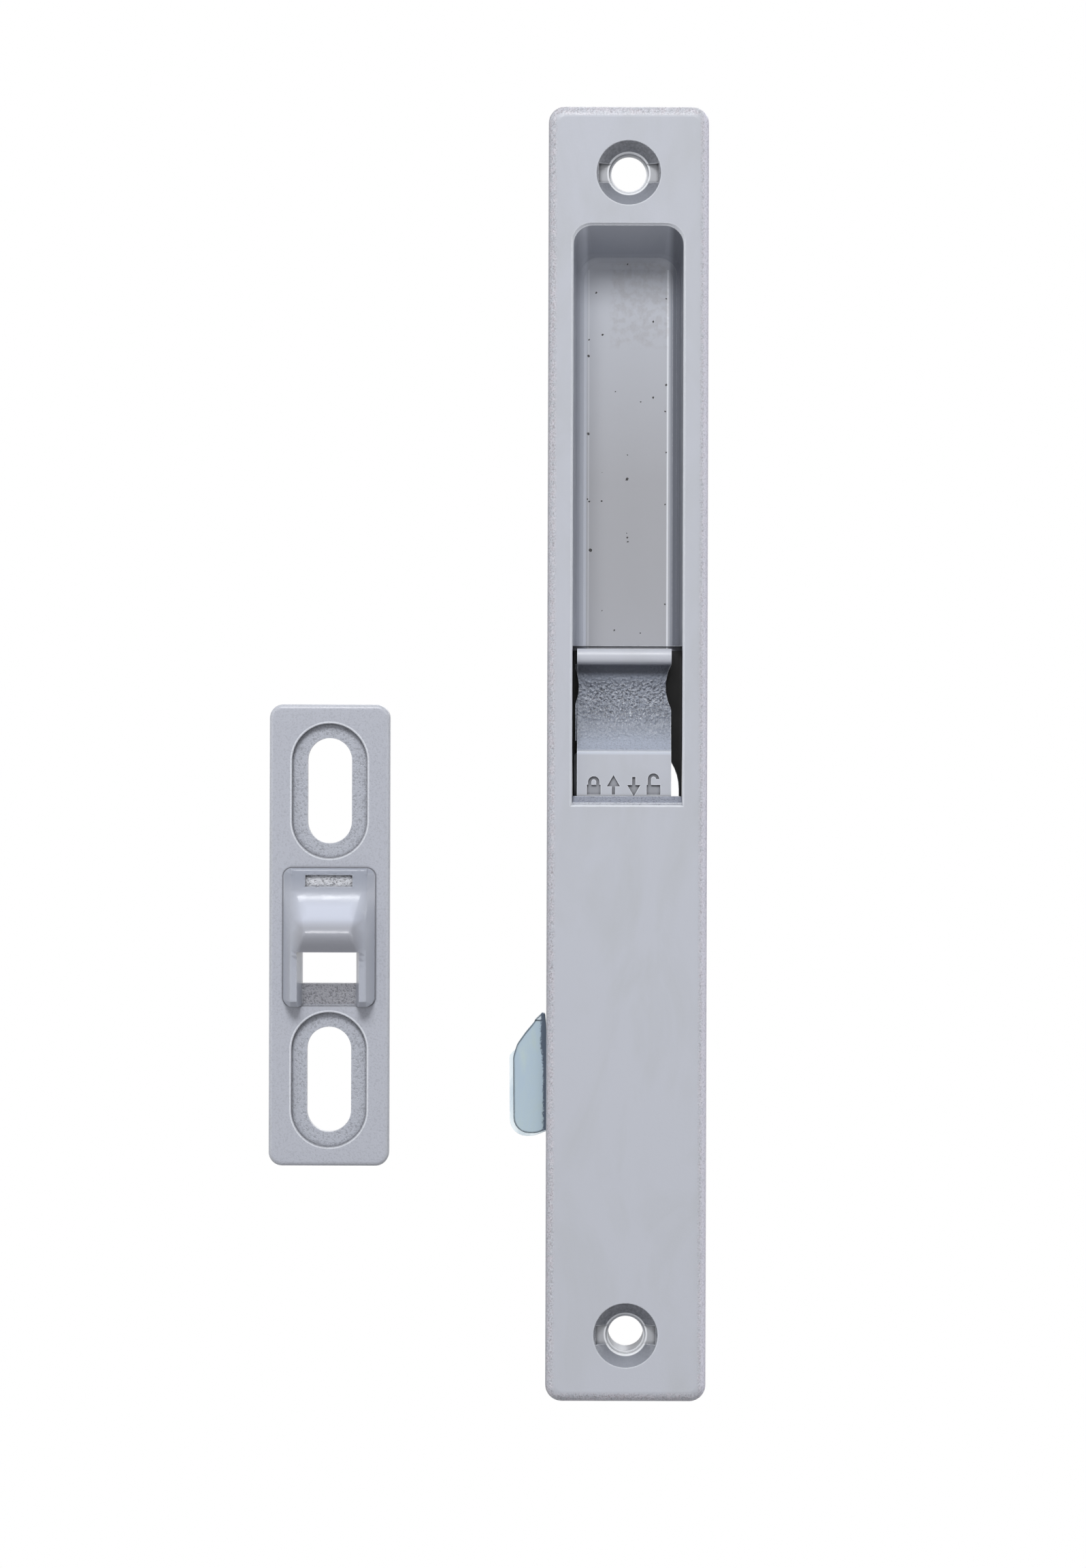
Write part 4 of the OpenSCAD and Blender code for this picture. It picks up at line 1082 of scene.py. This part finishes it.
def add_shackle(bm, x, z, radius):
    """A half ring over a point, spun from one small section."""
    section = bmesh.ops.create_grid(bm, x_segments=1, y_segments=1, size=MM / 2)["verts"]
    bmesh.ops.scale(bm, vec=(SIGN_STROKE, 2 * SIGN_DEPTH, 1), verts=section)
    bmesh.ops.translate(bm, vec=Vector((x + radius, SIGN_Y, z)) * MM, verts=section)
    faces = list({face for vert in section for face in vert.link_faces})
    edges = list({edge for vert in section for edge in vert.link_edges})
    bmesh.ops.spin(bm, geom=[*section, *edges, *faces], cent=Vector((x, SIGN_Y, z)) * MM,
                   axis=(0, 1, 0), angle=-math.pi, steps=RING_STEPS)


def add_padlock(bm, x, lift):
    """A padlock whose shackle is lifted by so much; a lifted one shows no right leg."""
    add_block(bm, x, SIGN_Z - 0.6, *PADLOCK_SIZE)
    add_shackle(bm, x, SIGN_Z + 0.55 + lift, SHACKLE_R)
    add_block(bm, x - SHACKLE_R, SIGN_Z + 0.3 + lift / 2, SIGN_STROKE, LEG_H + lift)
    if not lift:
        add_block(bm, x + SHACKLE_R, SIGN_Z + 0.3, SIGN_STROKE, LEG_H)


def add_arrow(bm, x, turn):
    """An arrow that points up, or down where turn is -1."""
    head = bmesh.ops.create_cone(bm, cap_ends=True, segments=3, radius1=ARROW_R * MM,
                                 radius2=ARROW_R * MM, depth=2 * SIGN_DEPTH * MM)["verts"]
    place = Matrix.Translation(Vector((x, SIGN_Y, SIGN_Z + turn * 0.45)) * MM)
    spin = Matrix.Rotation(math.radians(0 if turn > 0 else 180), 4, "Y")
    bmesh.ops.transform(bm, matrix=place @ spin @ Matrix.Rotation(math.radians(90), 4, "X"), verts=head)
    add_block(bm, x, SIGN_Z - turn * 0.65, SIGN_STROKE, 1.3)


def sign_cutter():
    bm = bmesh.new()
    add_padlock(bm, SIGN_ROW["closed"], 0.0)
    add_padlock(bm, SIGN_ROW["open"], OPEN_LIFT)
    add_arrow(bm, SIGN_ROW["up"], 1)
    add_arrow(bm, SIGN_ROW["down"], -1)
    bmesh.ops.holes_fill(bm, edges=[edge for edge in bm.edges if len(edge.link_faces) == 1])
    bmesh.ops.recalc_face_normals(bm, faces=bm.faces)
    return bm


def cut_away(bm, cutter_bm):
    """The first mesh less the second, by a Boolean modifier that is then applied."""
    casting, cutter = add_piece("casting", bm), add_piece("cutter", cutter_bm)
    boolean = casting.modifiers.new("engrave", "BOOLEAN")
    boolean.operation = "DIFFERENCE"
    boolean.solver = "EXACT"
    boolean.use_self = True
    boolean.object = cutter
    result = bmesh.new()
    result.from_object(casting, bpy.context.evaluated_depsgraph_get())
    for item in (casting, cutter):
        bpy.data.objects.remove(item)
    return result


# %% [markdown]
# ## The thumb slide
# The slide is die cast, and its scoop was left as the mould made it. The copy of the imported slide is
# engraved first, while its mesh is coarse. The scoop is then cut into a fine grid and displaced:
# deep grit under the ridge, fading towards the face, with the rim of the scoop left where it was.

# %% Thumb slide with its signs and rough scoop
SCOOP_PITCH = 0.11
SCOOP_FINENESS = 2.6
UNDERCUT_Z = 11.8
UNDERCUT_FADE = 1.5
SCOOP_FINE_DEPTH = 0.04
SCOOP_COARSE_DEPTH = 0.15


def scoop_depth_at(point):
    share = (point.z - SCOOP_LOW_Z) / (SCOOP_TOP_Z - SCOOP_LOW_Z)
    rising = min(1.0, max(0.0, share * 2.2 - 0.35))
    fading = min(1.0, max(0.0, (UNDERCUT_Z - point.z) / UNDERCUT_FADE))
    return SCOOP_FINE_DEPTH + SCOOP_COARSE_DEPTH * (rising * fading)


def make_thumb_slide():
    bm = cut_away(cad_copy("thumb_slide"), sign_cutter())
    bm.normal_update()
    low = (slide_low.x / MM, SIGN_Y + 0.03, SCOOP_LOW_Z)
    high = (slide_high.x / MM, 6, SCOOP_TOP_Z)
    scoop = fine_faces(bm, low, high, SCOOP_PITCH)
    roughen(bm, inner_verts(scoop), SCOOP_FINENESS, scoop_depth_at)
    finish_casting(bm, "thumb_slide_cast", "thumb_slide", "slide", thumb_slide_paint)


make_thumb_slide()

# %% [markdown]
# ## The keeper
# The hood of the keeper is one smooth cast form: a square shoulder at its head, ribs at its sides, a
# ramp that rises in a hollow curve to a rounded crest, and a lip that hangs over the mouth. The CAD
# solid has a sloping shoulder and a straight ramp. The copy gets a fine mesh on the hood, the shoulder
# comes forward, the start of the ramp goes back, and the whole is relaxed, so that its edges soften
# as cast edges do. The ledge under the mouth and the pocket at the head are then roughened.

# %% Keeper with its softened hood
HOOD_PITCH = 0.22
HOOD_LOW = (KEEPER_X - 7.2, -9.5, -37.6)
HOOD_HIGH = (KEEPER_X + 7.2, -2.55, -16.5)
HOOD_TOP = -16.9
HOOD_FLAT_Y = -3.8
SHOULDER_H = 1.0
SHOULDER_HALF = 5.6
SHOULDER_RISE = 0.25
RAMP_LOW, RAMP_HIGH = -28.9, -19.85
CREST_Z = -26.35
RAMP_HOLLOW = 0.5
RAMP_PASSES = 30
HOOD_FINENESS = 1.6
POCKET_Z = (-19.7, -17.5)
LEDGE_TOP_Z = -33.6
ROUGH_HALF = 3.7
ROUGH_DEPTH = 0.1
SMOOTH_DEPTH = 0.012


def hood_depth_at(point):
    in_pocket = POCKET_Z[0] < point.z < POCKET_Z[1]
    on_ledge = point.z < LEDGE_TOP_Z
    middle = abs(point.x - KEEPER_X) < ROUGH_HALF
    return ROUGH_DEPTH if middle and (in_pocket or on_ledge) else SMOOTH_DEPTH


def square_shoulder(verts):
    """Brings the hood's sloping top edge forward to its flat, as the real one has a square shoulder."""
    for vert in verts:
        below_top = HOOD_TOP * MM - vert.co.z
        on_shoulder = 0 < below_top < SHOULDER_H * MM and abs(vert.co.x / MM - KEEPER_X) < SHOULDER_HALF
        if on_shoulder:
            rise = min(1.0, below_top / (SHOULDER_RISE * MM))
            vert.co.y = min(vert.co.y, rise * HOOD_FLAT_Y * MM + (1 - rise) * vert.co.y)


def hollow_ramp(verts):
    """Draws the start of the ramp back by a share of its height, so that it rises in a hollow curve."""
    for vert in verts:
        height = max(0.0, HOOD_FLAT_Y - vert.co.y / MM)
        climb = (RAMP_HIGH - vert.co.z / MM) / (RAMP_HIGH - CREST_Z)
        vert.co.y += RAMP_HOLLOW * height * max(0.0, 1 - climb) * MM


def make_keeper():
    bm = cad_copy("keeper")
    bm.normal_update()
    soft = inner_verts(fine_faces(bm, HOOD_LOW, HOOD_HIGH, HOOD_PITCH, facing=-0.02))
    square_shoulder(soft)
    ramp = [vert for vert in soft if RAMP_LOW * MM < vert.co.z < RAMP_HIGH * MM]
    hollow_ramp(ramp)
    for verts, times in ((soft, 1), (ramp, RAMP_PASSES)):
        for _ in range(times):
            bmesh.ops.smooth_vert(bm, verts=verts, factor=0.5,
                                  use_axis_x=True, use_axis_y=True, use_axis_z=True)
    roughen(bm, soft, HOOD_FINENESS, hood_depth_at)
    finish_casting(bm, "keeper_cast", "keeper", "lock_case", keeper_cast_paint)


make_keeper()

# %% [markdown]
# ## Floor and background
# The photograph has a pure white background and no shadow in view. The floor lies a little below the
# lock, and its soft shadow falls just under the picture. Lighting a floor until it is white would
# flood the lock too, so the camera, and what mirrors it, sees floor and world as plain white, and
# only the rest of the rays get the real, dimmer floor and sky.

# %% Floor
FLOOR_DROP = 40 * MM
FLOOR_SIZE = 8.0
SHADOW_NEAR = 50 * MM
SHADOW_FAR = 88 * MM
SHADOW_LEAST = 0.6
FLOOR_BRIGHT = (0.9, 0.9, 0.9, 1)
FLOOR_BOUNCE = (0.35, 0.35, 0.36, 1)


def seen_directly(tree):
    """1 for rays from the camera, and for those in a reflection or through glass."""
    path = add_node(tree, "ShaderNodeLightPath")
    direct = maths(tree, "MAXIMUM", path.outputs["Is Camera Ray"], path.outputs["Is Glossy Ray"])
    return maths(tree, "MAXIMUM", direct, path.outputs["Is Transmission Ray"])


def mix_shaders(tree, factor, first, second):
    mix = add_node(tree, "ShaderNodeMixShader")
    for socket, value in zip(mix.inputs, (factor, first, second)):
        feed(tree, socket, value)
    return mix.outputs["Shader"]


def white_floor_material():
    material = bpy.data.materials.new("white_floor")
    tree = empty_tree(material)
    out = add_node(tree, "ShaderNodeOutputMaterial")
    shaded = set_inputs(tree, add_node(tree, "ShaderNodeBsdfDiffuse"), Color=FLOOR_BRIGHT)
    glow = set_inputs(tree, add_node(tree, "ShaderNodeEmission"), Strength=1.0)
    place = add_node(tree, "ShaderNodeTexCoord")
    flat = vector_maths(tree, "MULTIPLY", place.outputs["Object"], (1, 1, 0))
    reach = vector_maths(tree, "LENGTH", flat, output="Value")
    fade = remap(tree, reach, SHADOW_NEAR, SHADOW_FAR, SHADOW_LEAST, 1.0)
    bright = mix_shaders(tree, fade, shaded.outputs["BSDF"], glow.outputs["Emission"])
    bounce = set_inputs(tree, add_node(tree, "ShaderNodeBsdfDiffuse"), Color=FLOOR_BOUNCE)
    feed(tree, out.inputs["Surface"], mix_shaders(tree, seen_directly(tree), bounce.outputs["BSDF"], bright))
    return material


def add_floor():
    bm = bmesh.new()
    bmesh.ops.create_grid(bm, x_segments=1, y_segments=1, size=FLOOR_SIZE / 2)
    bmesh.ops.translate(bm, vec=(0, 0, body_low.z - FLOOR_DROP), verts=bm.verts)
    floor = add_piece("studio_floor", bm)
    return floor


floor = add_floor()
floor.data.materials.append(white_floor_material())
print("floor at z", round(body_low.z - FLOOR_DROP, 3))

# %% World
LIGHT_FROM_ABOVE = 0.42
LIGHT_FROM_BELOW = 0.08
SKY_COLOUR = (0.97, 0.98, 1, 1)


def white_world():
    """A world that looks white and lights the lock with a soft sky, brighter from above."""
    world = bpy.data.worlds.new("studio")
    tree = empty_tree(world)
    out = add_node(tree, "ShaderNodeOutputWorld")
    seen = set_inputs(tree, add_node(tree, "ShaderNodeBackground"), Color=(1, 1, 1, 1), Strength=1.0)
    fill = set_inputs(tree, add_node(tree, "ShaderNodeBackground"), Color=SKY_COLOUR)
    sky = add_node(tree, "ShaderNodeTexCoord")
    height = split_axes(tree, sky.outputs["Generated"])["Z"]
    level = remap(tree, height, -1.0, 1.0, LIGHT_FROM_BELOW, LIGHT_FROM_ABOVE)
    feed(tree, fill.inputs["Strength"], level)
    lit = mix_shaders(tree, seen_directly(tree), fill.outputs["Background"], seen.outputs["Background"])
    feed(tree, out.inputs["Surface"], lit)
    bpy.context.scene.world = world


white_world()
print("world:", bpy.context.scene.world.name)

# %% [markdown]
# ## Lamps
# The lamps stay at a level at which a colour renders about as it is written. A large soft lamp high
# in front does most of the work: it lights what faces up, such as the ramp of the hood, and leaves
# what faces down in shade. Two weak fills open the sides, two rims draw the plate's edges, and one
# lamp serves the views from behind.

# %% Soft lamps
# Name, place and size in metres, and power in watts.
LAMPS = (
    ("key_softbox", (-0.1, -0.95, 0.85), (0.6, 0.4), 11.7),
    ("left_fill", (-1.1, -0.9, 0.1), (0.5, 0.7), 1.9),
    ("right_fill", (1.1, -0.9, 0.1), (0.5, 0.7), 0.7),
    ("left_rim", (-1.2, -0.15, 0.0), (0.25, 0.9), 1.5),
    ("right_rim", (1.2, -0.15, 0.0), (0.25, 0.9), 3.0),
    ("back_fill", (0.3, 0.9, 0.6), (0.8, 0.8), 5.0),
)


def add_softbox(name, place, size, watts):
    data = bpy.data.lights.new(name, "AREA")
    data.shape = "RECTANGLE"
    data.size, data.size_y = size
    data.energy = watts
    lamp = bpy.data.objects.new(name, data)
    lamp.location = place
    lamp.rotation_euler = (-Vector(place)).to_track_quat("-Z", "Y").to_euler()
    lamp.visible_camera = False
    bpy.context.scene.collection.objects.link(lamp)


for lamp in LAMPS:
    add_softbox(*lamp)

# %% [markdown]
# ## Colours
# The Standard view shows a colour as it is written.

# %% Colour management
bpy.context.scene.view_settings.view_transform = "Standard"
